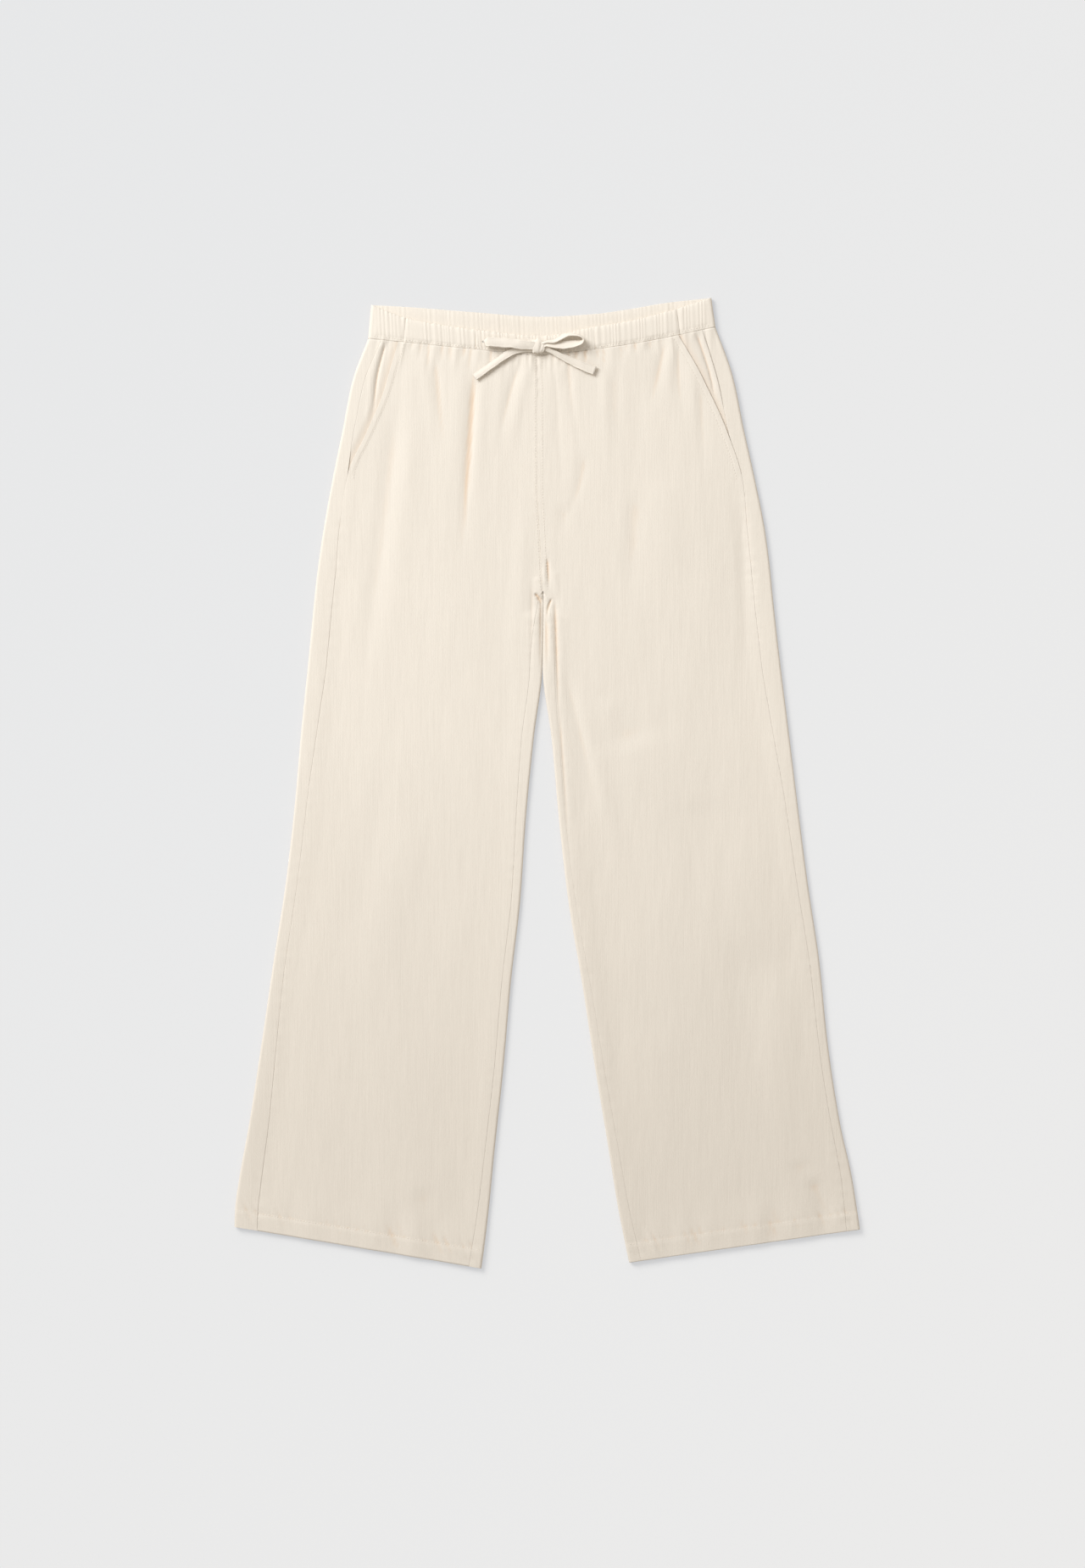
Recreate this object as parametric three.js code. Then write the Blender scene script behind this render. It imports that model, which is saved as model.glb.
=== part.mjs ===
// Drawstring denim trousers with an elastic waist, laid flat on their back, front side up.
// Millimetres, +Z up. +Y points to the waist and +X to the wearer's left.
// The underside is flat at Z = 0. The origin is under the middle of the laid-out garment.
import * as THREE from "three";
import { RoundedBoxGeometry } from "three/addons/geometries/RoundedBoxGeometry.js";

// Driving dimensions
const CLOTH = 1.2; // wall of the denim
const HEM_CLOTH = 2.4; // wall of the turned-up hem, two layers
const BAND_WALL = 3; // wall of the elastic casing
const SEAM_GAP = 0.3; // room between neighbouring pieces
const ROLL_REACH = 30; // how far a side fold keeps the upper layer raised
const ROLL_FLAT = 6; // the part of that reach that stays at full height
const BACK_WAIST = 497; // y of the back waist seam at the centre
const WAIST_DIP = 4; // sag of the wearer's left half of the waist seam
const FACING_UNDER = 14; // how far the pocket facing runs on under the front
const FACING_DROP = 2; // how far it lies below the front there
const FACING_SLOPE = 10; // width over which it comes up to the side seam
const GATHER_HEIGHT = 0.3; // ripples of the gathered casing
const CENTRE_BACK = -3.5; // x of the centre-back seam

const PANEL_COLUMNS = 13;
const FACING_COLUMNS = 4;
const BAND_COLUMNS = 36;
const FULL_TURN_STEPS = 8; // steps of a whole turn, on the rounded side folds

const ECRU = "#e6dccb";
const SHADED_ECRU = "#dccfba";

const table = (columns, rows) =>
  rows.map((row) => Object.fromEntries(columns.map((column, i) => [column, row[i]])));

const mix = (a, b, t) => a + (b - a) * t;
const clamp = (t) => Math.min(1, Math.max(0, t));
const smooth = (t) => clamp(t) ** 2 * (3 - 2 * clamp(t));

// Each leg is a flat tube, given by sections from the waist seam to the hem.
// outerX, outerY and innerX, innerY are the two ends of a section, seen from above.
// outseam and inseam are how far the back panel wraps round to the upper side.
// mouth is the distance from the outer fold to the edge of the front panel.
// rest is the height of the upper layer in the middle, and roll is its height at the folds.
const SECTION_COLUMNS = [
  "outerX", "outerY", "innerX", "innerY", "outseam", "mouth", "inseam", "rest", "roll",
];
const RIGHT_LEG = table(SECTION_COLUMNS, [
  [-200.5, 497, -11, 478, 15, 34, 0, 6.6, 6.6],
  [-218, 450, -11, 436, 13.5, 38, 0, 6, 6.2],
  [-229, 395, -11, 385, 13, 27.6, 0, 5.7, 5.9],
  [-239.3, 345, -11, 337, 16, 16, 0, 5.3, 5.7],
  [-251, 280, -8, 272, 18, 18, 0, 4.2, 5.2],
  [-258.5, 226, -5, 216, 21, 21, 0, 3.8, 5],
  [-259.5, 217, -3.7, 207, 21, 21, 5, 3.8, 5],
  [-267, 140, -5.9, 130, 21, 21, 14, 3.4, 5],
  [-275, 62, -15, 50, 18, 18, 13.5, 3.1, 5],
  [-282.7, -25, -23.8, -40, 13.5, 13.5, 11, 3.1, 5],
  [-292.5, -110, -30, -130, 13, 13, 10, 3.1, 5],
  [-306.4, -200, -40.6, -223, 13.5, 13.5, 10, 3.1, 5],
  [-319.6, -290, -48.8, -317, 17, 17, 10, 3.1, 5],
  [-333.5, -380, -59, -412, 22, 22, 10.5, 3.1, 5],
  [-344.4, -440, -65.5, -478, 25, 25, 12, 3.8, 5.4],
  [-349.5, -478.4, -71, -524, 26, 26, 13.5, 5.2, 6],
  [-350.1, -496.4, -73.6, -542.9, 26, 26, 14, 5.4, 6],
]);
const LEFT_LEG = table(SECTION_COLUMNS, [
  [188.5, 510, -11, 478, 14.7, 41.7, 0, 6.6, 6.6],
  [208, 455, -11, 436, 18, 33.5, 0, 6, 6.2],
  [220.5, 395, -11, 385, 18, 19.5, 0, 5.7, 5.9],
  [232, 343, -11, 337, 14, 14, 0, 5.3, 5.7],
  [244.4, 280, -8, 272, 20, 20, 0, 4.2, 5.2],
  [251, 226, -5, 216, 21, 21, 0, 3.8, 5],
  [251.8, 217, -3.3, 207, 21, 21, 5, 3.8, 5],
  [260.3, 140, -4.3, 130, 21, 21, 14, 3.4, 5],
  [270, 62, 5, 50, 18, 18, 8.5, 3.1, 5],
  [280.6, -25, 13.2, -40, 13.5, 13.5, 7.5, 3.1, 5],
  [291.5, -110, 23.5, -130, 12, 12, 8, 3.1, 5],
  [304.8, -200, 39, -223, 11, 11, 9, 3.1, 5],
  [314, -290, 53.5, -317, 10, 10, 10, 3.1, 5],
  [327.8, -380, 69.2, -412, 10, 10, 11, 3.1, 5],
  [341, -440, 79, -473, 12, 12, 12, 3.8, 5.4],
  [347.5, -481, 87.8, -517.5, 14, 14, 13, 5.2, 6],
  [350.1, -499.2, 91.7, -536.3, 15, 15, 13.5, 5.4, 6],
]);
const POCKET_END = 3; // section where the slant pocket meets the side seam
const CROTCH = 6; // first section of the leg as a tube of its own
const HEM_STITCH = 15; // section at the top of the turned-up hem
const HEM_STEP = 0.06; // the wall changes to the hem's over this part of a section
const SPLIT_SECTIONS = 5; // sections above this one are halved, for the pleats

// Pleats and creases of the upper layer, from a start to an end, as seen from above.
// bow is how far the middle swings to the left of that line; height below 0 is a trough.
const FOLDS = table(
  ["startX", "startY", "endX", "endY", "bow", "width", "height"],
  [
    [-81, 480, -99, 238, 0, 9, -2.0],
    [-104, 470, -112, 300, 3, 14, 1.5],
    [-127, 484, -120, 350, 0, 9, -1.4],
    [-150, 480, -160, 300, 0, 13, 1.4],
    [-173, 470, -212, 180, 4, 11, -1.5],
    [-28, 478, -56, 360, -3, 8, -1.4],
    [-55, 474, -76, 300, 0, 13, 1.5],
    [6, 480, 18, 285, 2, 8, -1.3],
    [24, 480, 43, 350, -3, 8, -1.3],
    [60, 482, 71, 350, -2, 8, -1.3],
    [40, 470, 60, 300, 0, 12, 1.3],
    [92, 485, 96, 300, 0, 15, 1.6],
    [133, 496, 112, 400, 0, 8, -1.4],
    [148, 500, 155, 390, -4, 8, -1.4],
    [170, 450, 179, 335, -2, 9, -1.4],
    [103, 330, 86, 200, 3, 12, -1.1],
    [12, 160, 54, 0, 3, 10, 1.2],
  ],
);

// Edges of the waistband, from the wearer's right fold to the left one.
const BAND_EDGES = table(
  ["x", "frontTop", "backTop"],
  [
    [-197, 535, 535],
    [-158, 520, 533],
    [-119, 512.5, 530],
    [-81, 507, 527],
    [-5, 500, 522],
    [52, 510, 525],
    [89, 516, 530],
    [137, 528, 538],
    [183.8, 542.9, 542.9],
  ],
);
const BAND_SEAM_RIGHT = -158; // x of the casing's side seams, which lie on the front
const BAND_SEAM_LEFT = 145;

// Drawstring: a flat tape tied in a bow, its route given by points picked along it.
const TAPE_WIDTH = 10;
const TAPE_THICK = 1.8;
const TAPE_SIDES = 8;
const KNOT = { x: -7.6, y: 488, z: 11, width: 13, depth: 17, height: 7.6, round: 3 };
const LOOP_RIGHT = [
  [-14.6, 491, 11], [-24, 490.8, 11], [-36, 490.8, 11], [-50, 491.2, 10.8], [-60, 491.8, 10.6],
  [-66, 492, 10.7], [-69, 492, 12.5], [-66, 492, 14.3], [-60, 492.2, 14.4],
  [-50, 492.8, 14.2], [-36, 493.4, 14], [-24, 493.4, 13.9], [-14.6, 493, 13.6],
];
const TAIL_RIGHT = [
  [-14.6, 485.4, 8.6], [-24, 485.2, 8.7], [-34, 483.6, 8.9], [-45, 478.6, 9.3], [-57, 470.4, 9.6],
  [-69, 461.8, 9.5], [-81, 453.4, 9.2],
];
const LOOP_LEFT = [
  [-0.5, 493, 12.8], [7, 492.6, 13], [14, 494.8, 13], [20.4, 498.4, 13], [27.5, 500.4, 13],
  [35.5, 499.4, 13], [40.3, 495.6, 13], [37.6, 491.4, 13], [30, 488, 13],
  [21, 486.2, 13], [11, 486.6, 13], [5, 488.4, 13], [-0.5, 489.6, 12.8],
];
const TAIL_LEFT = [
  [0.1, 483.1, 9], [6, 481, 9], [14, 477, 9.2], [23, 472.8, 9.4], [32, 468.6, 9.5],
  [42, 464.8, 9.5], [53.5, 460.6, 9.4],
];
const TAPE_STEPS = { loop: 48, tail: 14 };

// The values of a leg's sections at a place between two of them, such as 2.5.
function sectionAt(leg, at) {
  const low = Math.min(Math.floor(at), leg.length - 2);
  const values = { at, side: Math.sign(leg[0].outerX) };
  for (const column of SECTION_COLUMNS) {
    values[column] = mix(leg[low][column], leg[low + 1][column], at - low);
  }
  return values;
}

// Places of the rows of a panel: the sections, with the upper ones halved and the hem's step.
function rowPlaces(last) {
  const places = [];
  for (let at = 0; at <= last; at += at < SPLIT_SECTIONS ? 0.5 : 1) places.push(at);
  if (last > HEM_STITCH) places.splice(places.indexOf(HEM_STITCH) + 1, 0, HEM_STITCH + HEM_STEP);
  return places;
}

const wallAt = (at) => (at > HEM_STITCH ? HEM_CLOTH : CLOTH);

const along = (section, x) => (x - section.outerX) / (section.innerX - section.outerX);

// y of a section's line at x; the wearer's left half of the waist seam sags a little.
function lineY(section, x) {
  const t = along(section, x);
  const dip = section.side > 0 ? WAIST_DIP * Math.sin(Math.PI * clamp(t)) : 0;
  return mix(section.outerY, section.innerY, t) - dip * clamp(1 - section.at);
}

// The same for the lower layer, whose waist seam stays high at the centre back.
function backLineY(section, x) {
  const fromFold = (x - section.outerX) / (CENTRE_BACK - section.outerX);
  const waist = mix(section.outerY, BACK_WAIST, fromFold);
  const line = mix(section.outerY, section.innerY, along(section, x));
  return mix(line, waist, clamp(1 - section.at));
}

function foldHeight(x, y) {
  let height = 0;
  for (const fold of FOLDS) {
    const [dx, dy] = [fold.endX - fold.startX, fold.endY - fold.startY];
    const length = Math.hypot(dx, dy);
    const t = ((x - fold.startX) * dx + (y - fold.startY) * dy) / length ** 2;
    if (t <= 0 || t >= 1) continue;
    const across = ((y - fold.startY) * dx - (x - fold.startX) * dy) / length;
    const off = (across - fold.bow * 4 * t * (1 - t)) / fold.width;
    height += fold.height * Math.sin(Math.PI * t ** 0.6) * Math.exp(-off * off);
  }
  return height;
}

// Height of the upper layer's outer surface.
function topZ(section, x) {
  const fromOuter = Math.abs(x - section.outerX);
  const fromInner = section.at >= CROTCH ? Math.abs(x - section.innerX) : Infinity;
  const near = Math.min(fromOuter, fromInner);
  const roll = 1 - smooth((near - ROLL_FLAT) / (ROLL_REACH - ROLL_FLAT));
  const folds = foldHeight(x, lineY(section, x)) * (1 - roll);
  return mix(section.rest, section.roll, roll) + folds;
}

// A closed wall from two grids of points, outer and inner. Cells where has() is false are left
// out, and every open edge gets a narrow face from the outer grid to the inner one.
function shell(columns, rows, outer, inner, has = () => true) {
  const points = [];
  const faces = [];
  const index = new Map();
  const cell = (i, j) => i >= 0 && j >= 0 && i < columns - 1 && j < rows - 1 && has(i, j);
  const point = (layer, i, j) => {
    const key = `${layer} ${i} ${j}`;
    if (!index.has(key)) {
      index.set(key, points.length / 3);
      points.push(...(layer === "outer" ? outer : inner)(i, j));
    }
    return index.get(key);
  };
  const quad = (a, b, c, d) => faces.push(a, b, c, a, c, d);
  for (let j = 0; j < rows - 1; j += 1) {
    for (let i = 0; i < columns - 1; i += 1) {
      if (!cell(i, j)) continue;
      const corners = [[i, j], [i + 1, j], [i + 1, j + 1], [i, j + 1]];
      const [a, b, c, d] = corners.map((corner) => point("outer", ...corner));
      const [e, f, g, h] = corners.map((corner) => point("inner", ...corner));
      quad(a, b, c, d);
      quad(h, g, f, e);
      if (!cell(i, j - 1)) quad(b, a, e, f);
      if (!cell(i + 1, j)) quad(c, b, f, g);
      if (!cell(i, j + 1)) quad(d, c, g, h);
      if (!cell(i - 1, j)) quad(a, d, h, e);
    }
  }
  const geometry = new THREE.BufferGeometry();
  geometry.setAttribute("position", new THREE.Float32BufferAttribute(points, 3));
  geometry.setIndex(volume(points, faces) < 0 ? faces.reverse() : faces);
  geometry.computeVertexNormals();
  return geometry;
}

function volume(points, faces) {
  const at = (k) => new THREE.Vector3().fromArray(points, 3 * faces[k]);
  let sum = 0;
  for (let k = 0; k < faces.length; k += 3) sum += at(k).dot(at(k + 1).cross(at(k + 2))) / 6;
  return sum;
}

function denim(name, geometry, colour = ECRU) {
  const material = new THREE.MeshStandardMaterial({ color: colour, roughness: 0.9, metalness: 0 });
  const mesh = new THREE.Mesh(geometry, material);
  mesh.name = name;
  return mesh;
}

// Front of one leg: from the pocket mouth and the outseam to the centre seam and the inseam.
function frontPanel(name, leg) {
  const places = rowPlaces(leg.length - 1);
  const at = (i, j) => {
    const section = sectionAt(leg, places[j]);
    const start = section.outerX - section.side * (section.mouth + SEAM_GAP / 2);
    const end = section.innerX + section.side * (section.inseam + SEAM_GAP / 2);
    const x = mix(start, end, i / (PANEL_COLUMNS - 1));
    return [x, lineY(section, x), topZ(section, x)];
  };
  const under = (i, j) => {
    const [x, y, z] = at(i, j);
    return [x, y, z - wallAt(places[j])];
  };
  return denim(name, shell(PANEL_COLUMNS, places.length, at, under));
}

// The profile of a back panel, from its outseam edge on the upper side, round the outer fold,
// across the underside and round the inner fold to its inseam edge. The inset moves a point
// from the outer surface to the inner one.
function backProfile(section) {
  const { side, outerX, innerX, roll } = section;
  const radius = roll / 2;
  const topPoint = (x) => (inset) => [x, lineY(section, x), topZ(section, x) - inset];
  const basePoint = (x) => (inset) => [x, backLineY(section, x), inset];
  const turn = (centreX, away) => {
    const points = [];
    for (let k = 1; k < FULL_TURN_STEPS / 2; k += 1) {
      const angle = (2 * Math.PI * k) / FULL_TURN_STEPS;
      points.push((inset) => {
        const reach = radius - inset;
        const x = centreX + away * reach * Math.sin(angle);
        return [x, lineY(section, x), radius + reach * Math.cos(angle)];
      });
    }
    return points;
  };
  const outerCentre = outerX - side * radius;
  const innerCentre = innerX + side * radius;
  const seamX = outerX - side * (section.outseam - SEAM_GAP / 2);
  const upper = [topPoint(seamX), topPoint(mix(seamX, outerCentre, 0.5)), topPoint(outerCentre)];
  const seat = section.at < CROTCH ? CENTRE_BACK + side * (SEAM_GAP / 2) : innerCentre;
  const base = [0, 0.25, 0.5, 0.75, 1].map((t) => basePoint(mix(outerCentre, seat, t)));
  const inseamX = innerX + side * (section.inseam - SEAM_GAP / 2);
  const inner = [topPoint(innerCentre), topPoint(mix(innerCentre, inseamX, 0.5)), topPoint(inseamX)];
  return {
    points: [
      ...upper,
      ...turn(outerCentre, side),
      ...base,
      ...turn(innerCentre, -side).reverse(),
      ...inner,
    ],
    seatColumn: upper.length + FULL_TURN_STEPS / 2 - 1 + base.length - 1,
  };
}

function backPanel(name, leg) {
  const places = rowPlaces(leg.length - 1);
  const profiles = places.map((place) => backProfile(sectionAt(leg, place)));
  const { points, seatColumn } = profiles[0];
  const crotchRow = places.indexOf(CROTCH);
  return denim(
    name,
    shell(
      points.length,
      places.length,
      (i, j) => profiles[j].points[i](0),
      (i, j) => profiles[j].points[i](wallAt(places[j])),
      (i, j) => i < seatColumn || j >= crotchRow,
    ),
  );
}

// Facing of a slant pocket: seen between the side seam and the mouth, it runs on under the front.
function pocketFacing(name, leg) {
  const places = rowPlaces(POCKET_END);
  const at = (i, j) => {
    const section = sectionAt(leg, places[j]);
    const start = section.outseam + SEAM_GAP;
    const across = mix(start, section.mouth + FACING_UNDER, i / (FACING_COLUMNS - 1));
    const x = section.outerX - section.side * across;
    const rise = smooth((section.mouth - across) / FACING_SLOPE);
    return [x, lineY(section, x), topZ(section, x) - FACING_DROP * (1 - rise)];
  };
  const under = (i, j) => {
    const [x, y, z] = at(i, j);
    return [x, y, z - CLOTH];
  };
  return denim(name, shell(FACING_COLUMNS, places.length, at, under), SHADED_ECRU);
}

// Height in y of a waistband edge, between the rows of its table.
function bandTop(column, x) {
  const last = BAND_EDGES.length - 1;
  const k = Math.max(1, BAND_EDGES.findIndex((row) => row.x >= x));
  const [a, b] = x >= BAND_EDGES[last].x ? BAND_EDGES.slice(-2) : [BAND_EDGES[k - 1], BAND_EDGES[k]];
  return mix(a[column], b[column], clamp((x - a.x) / (b.x - a.x)));
}

// The waist seams of the two layers, which the casing's lower edge follows.
function waistSeam(layer, x) {
  const centre = layer === "front" ? RIGHT_LEG[0].innerX : CENTRE_BACK;
  const section = sectionAt(x < centre ? RIGHT_LEG : LEFT_LEG, 0);
  return (layer === "front" ? lineY : backLineY)(section, x) + SEAM_GAP;
}

// One point of the casing: down is 0 at its upper edge and 1 at its waist seam.
function bandPoint(layer, x, down, z) {
  const t = (x - BAND_EDGES[0].x) / (BAND_EDGES.at(-1).x - BAND_EDGES[0].x);
  const lower = mix(RIGHT_LEG[0].outerX, LEFT_LEG[0].outerX, t);
  const top = bandTop(layer === "front" ? "frontTop" : "backTop", x);
  return [mix(x, lower, down), mix(top, waistSeam(layer, lower), down), z];
}

const gather = (i) => (i % 2 ? GATHER_HEIGHT : 0);
const BAND_DOWN = [0, 0.5, 1];
const BAND_HEIGHT = RIGHT_LEG[0].roll;

function waistbandFront() {
  const start = BAND_SEAM_RIGHT + SEAM_GAP / 2;
  const end = BAND_SEAM_LEFT - SEAM_GAP / 2;
  const point = (z) => (i, j) => {
    const x = mix(start, end, i / (BAND_COLUMNS - 1));
    return bandPoint("front", x, BAND_DOWN[j], z(i));
  };
  const top = point((i) => BAND_HEIGHT + gather(i));
  const under = point(() => BAND_HEIGHT - BAND_WALL);
  return denim("waistband_front", shell(BAND_COLUMNS, BAND_DOWN.length, top, under));
}

// The back casing lies underneath and comes round both side folds to its seams.
function waistbandBack() {
  const radius = BAND_HEIGHT / 2;
  const [rightFold, leftFold] = [BAND_EDGES[0].x, BAND_EDGES.at(-1).x];
  const path = [];
  const wrap = (from, to) => {
    for (const t of [0, 0.25, 0.5, 0.75, 1]) {
      const x = mix(from, to, t);
      path.push((down, inset) => bandPoint("front", x, down, BAND_HEIGHT - inset));
    }
  };
  const turn = (centreX, away, up) => {
    for (let k = 1; k < FULL_TURN_STEPS / 2; k += 1) {
      const angle = (2 * Math.PI * (up ? FULL_TURN_STEPS / 2 - k : k)) / FULL_TURN_STEPS;
      path.push((down, inset) => {
        const reach = radius - inset;
        const x = centreX + away * reach * Math.sin(angle);
        return bandPoint("front", x, down, radius + reach * Math.cos(angle));
      });
    }
  };
  wrap(BAND_SEAM_RIGHT - SEAM_GAP / 2, rightFold + radius);
  turn(rightFold + radius, -1, false);
  for (let i = 0; i < BAND_COLUMNS; i += 1) {
    const x = mix(rightFold + radius, leftFold - radius, i / (BAND_COLUMNS - 1));
    path.push((down, inset) => bandPoint("back", x, down, inset ? inset + gather(i) : 0));
  }
  turn(leftFold - radius, 1, true);
  wrap(leftFold - radius, BAND_SEAM_LEFT + SEAM_GAP / 2);
  const outer = (i, j) => path[i](BAND_DOWN[j], 0);
  const inner = (i, j) => path[i](BAND_DOWN[j], BAND_WALL);
  return denim("waistband_back", shell(path.length, BAND_DOWN.length, outer, inner), SHADED_ECRU);
}

// A stretch of flat tape. across is its size in the plane of the route, and up its height.
function tape(name, route, steps, up, across) {
  const section = new THREE.Shape();
  for (let k = 0; k < TAPE_SIDES; k += 1) {
    const angle = (2 * Math.PI * (k + 0.5)) / TAPE_SIDES;
    const corner = 1 / (2 * Math.cos(Math.PI / TAPE_SIDES));
    const place = [up * corner * Math.cos(angle), across * corner * Math.sin(angle)];
    if (k) section.lineTo(...place);
    else section.moveTo(...place);
  }
  const path = new THREE.CatmullRomCurve3(route.map((point) => new THREE.Vector3(...point)));
  return denim(name, new THREE.ExtrudeGeometry(section, { extrudePath: path, steps }));
}

function knot() {
  const { x, y, z, width, depth, height, round } = KNOT;
  const geometry = new RoundedBoxGeometry(width, depth, height, 2, round);
  geometry.translate(x, y, z);
  return denim("drawstring_knot", geometry);
}

const trousers = new THREE.Group();
trousers.add(
  frontPanel("front_right", RIGHT_LEG),
  frontPanel("front_left", LEFT_LEG),
  backPanel("back_right", RIGHT_LEG),
  backPanel("back_left", LEFT_LEG),
  pocketFacing("pocket_facing_right", RIGHT_LEG),
  pocketFacing("pocket_facing_left", LEFT_LEG),
  waistbandFront(),
  waistbandBack(),
  tape("drawstring_loop_right", LOOP_RIGHT, TAPE_STEPS.loop, TAPE_THICK, TAPE_WIDTH),
  tape("drawstring_tail_right", TAIL_RIGHT, TAPE_STEPS.tail, TAPE_THICK, TAPE_WIDTH),
  tape("drawstring_loop_left", LOOP_LEFT, TAPE_STEPS.loop, TAPE_WIDTH, TAPE_THICK),
  tape("drawstring_tail_left", TAIL_LEFT, TAPE_STEPS.tail, TAPE_THICK, TAPE_WIDTH),
  knot(),
);

export default trousers;
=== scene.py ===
import math

import bmesh
import bpy
import numpy as np
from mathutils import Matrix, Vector


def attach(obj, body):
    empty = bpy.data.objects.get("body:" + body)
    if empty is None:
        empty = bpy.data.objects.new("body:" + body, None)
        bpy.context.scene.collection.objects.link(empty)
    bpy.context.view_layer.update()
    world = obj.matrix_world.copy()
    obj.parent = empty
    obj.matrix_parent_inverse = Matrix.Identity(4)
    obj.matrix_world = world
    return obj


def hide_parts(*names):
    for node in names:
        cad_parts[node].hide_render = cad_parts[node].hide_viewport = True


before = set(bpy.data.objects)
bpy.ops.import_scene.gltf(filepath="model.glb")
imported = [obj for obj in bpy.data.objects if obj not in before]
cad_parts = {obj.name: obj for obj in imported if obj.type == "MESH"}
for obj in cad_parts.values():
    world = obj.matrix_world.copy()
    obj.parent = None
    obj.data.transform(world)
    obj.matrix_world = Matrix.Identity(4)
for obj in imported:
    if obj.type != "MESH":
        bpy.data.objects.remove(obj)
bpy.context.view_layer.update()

# Drawstring denim trousers laid flat on their back. Sizes are in millimetres up to the meshes,
# which are in metres. Right and left are the wearer's: the right leg lies at -X.
MM = 0.001
CLOTH = 0.75  # wall of the denim
HEM_CLOTH = 1.6  # wall of the turned-up hem
BAND_WALL = 3.0  # wall of the elastic casing
SEAM_GAP = 0.012  # between two pieces that are sewn together
ROLL_REACH = 34  # how far in from a side fold the upper layer is still raised
ROLL_FLAT = 5  # width of the strip beside the fold that is fully raised
CENTRE_BACK = -3.5  # x of the centre-back seam
BACK_WAIST = 497  # y of the back waist seam at the centre
WAIST_DIP = 4  # sag of the left half of the front waist seam
FACING_UNDER = 14  # how far a pocket facing runs on under the front
FACING_SLOPE = 10  # width over which it dips to get there
FACING_WALL, FACING_DROP, FACING_CREASE, FACING_RIDGE = 0.8, CLOTH + 0.12, 2.0, 0.7
LAYER_GAP = 0.1  # between layers that lie on each other
TUCK_FROM = 60  # at the crotch, the back's inner wrap tucks under the front
UNDER_LIFT = 0.9  # how far creases may raise the lower layer off the floor
POCKET_EDGE = 0.45  # height of the pocket mouth's stitched edge, and depth of the groove beside it
STITCH_INSET = 7  # topstitch of the pocket mouths
CENTRE_STITCHES = (2.2, 5.5)  # from the centre seam, on the right front and on the left one
HEM_STITCH_UP = 1.0  # the hem's topstitch lies this far above the step of the hem

# Reliefs of the seams and of the stitched hem.
ALLOWANCE = 11  # seam allowance that shows through as a faint step
SEAM_GROOVE, SEAM_STEP, SEAM_PUCKER = 0.06, 0.07, 0.13
HEM_STEP, HEM_GROOVE, HEM_ROPING, HEM_WAVE = 0.35, 0.3, 0.3, 0.5
CENTRE_SEED = 29  # the two fronts share the puckers of their seam

# Uneven relief of the legs: height, size and how much longer it runs down the leg than across.
SWELL, RUMPLE, GRAIN = (0.42, 130, 4), (0.09, 34, 4), (0.03, 11, 2.5)

# Puckers below the elastic.
GATHER_SPACING = 6.5
GATHER_SEED = 5

# Grids of the pieces: columns of points, and the step down the leg.
FRONT_COLUMNS, BACK_COLUMNS, WRAP_COLUMNS, TURN_COLUMNS, FACING_COLUMNS = 118, 46, 20, 12, 44
FRONT_STEP, BACK_STEP, FACING_STEP = 3.3, 3.6, 1.8
BAND_ROWS, BAND_FRONT_COLUMNS, BAND_BACK_COLUMNS, BAND_WRAP_COLUMNS = 26, 420, 460, 60

# The sections of each leg, as in the CAD part but closer together just below the crotch: two ends
# seen from above, how far the back wraps round to the outseam and the inseam, where the pocket
# mouth runs, and the upper layer's heights at rest and beside the side folds.
SECTION_COLUMNS = (
    "outer_x", "outer_y", "inner_x", "inner_y", "outseam", "mouth", "inseam", "rest", "roll",
)
RIGHT_LEG = (
    (-200.5, 497, -11, 478, 15, 34, 0, 6.6, 6.6),
    (-218, 450, -11, 436, 13.5, 38, 0, 6.0, 6.2),
    (-229, 395, -11, 385, 13, 27.6, 0, 5.6, 5.9),
    (-239.3, 345, -11, 337, 16, 16, 0, 5.2, 5.6),
    (-251, 280, -8, 272, 18, 18, 0, 4.6, 5.4),
    (-258.5, 226, -5, 216, 21, 21, 0, 4.2, 5.3),
    (-259.5, 217, -4.2, 207, 21, 21, 5, 4.2, 5.3),
    (-267, 140, -5.3, 130, 21, 21, 14, 4.0, 5.2),
    (-275, 62, -15, 50, 18, 18, 13.5, 3.9, 5.1),
    (-282.7, -25, -23.8, -40, 13.5, 13.5, 11, 3.9, 5.1),
    (-292.5, -110, -30, -130, 13, 13, 10, 3.9, 5.1),
    (-306.4, -200, -40.6, -223, 13.5, 13.5, 10, 3.9, 5.1),
    (-319.6, -290, -48.8, -317, 17, 17, 10, 3.9, 5.1),
    (-333.5, -380, -59, -412, 22, 22, 10.5, 3.9, 5.1),
    (-344.4, -440, -65.5, -478, 25, 25, 12, 4.1, 5.2),
    (-349.5, -478.4, -71, -524, 26, 26, 13.5, 4.8, 5.5),
    (-350.1, -496.4, -73.6, -542.9, 26, 26, 14, 4.9, 5.6),
)
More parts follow.
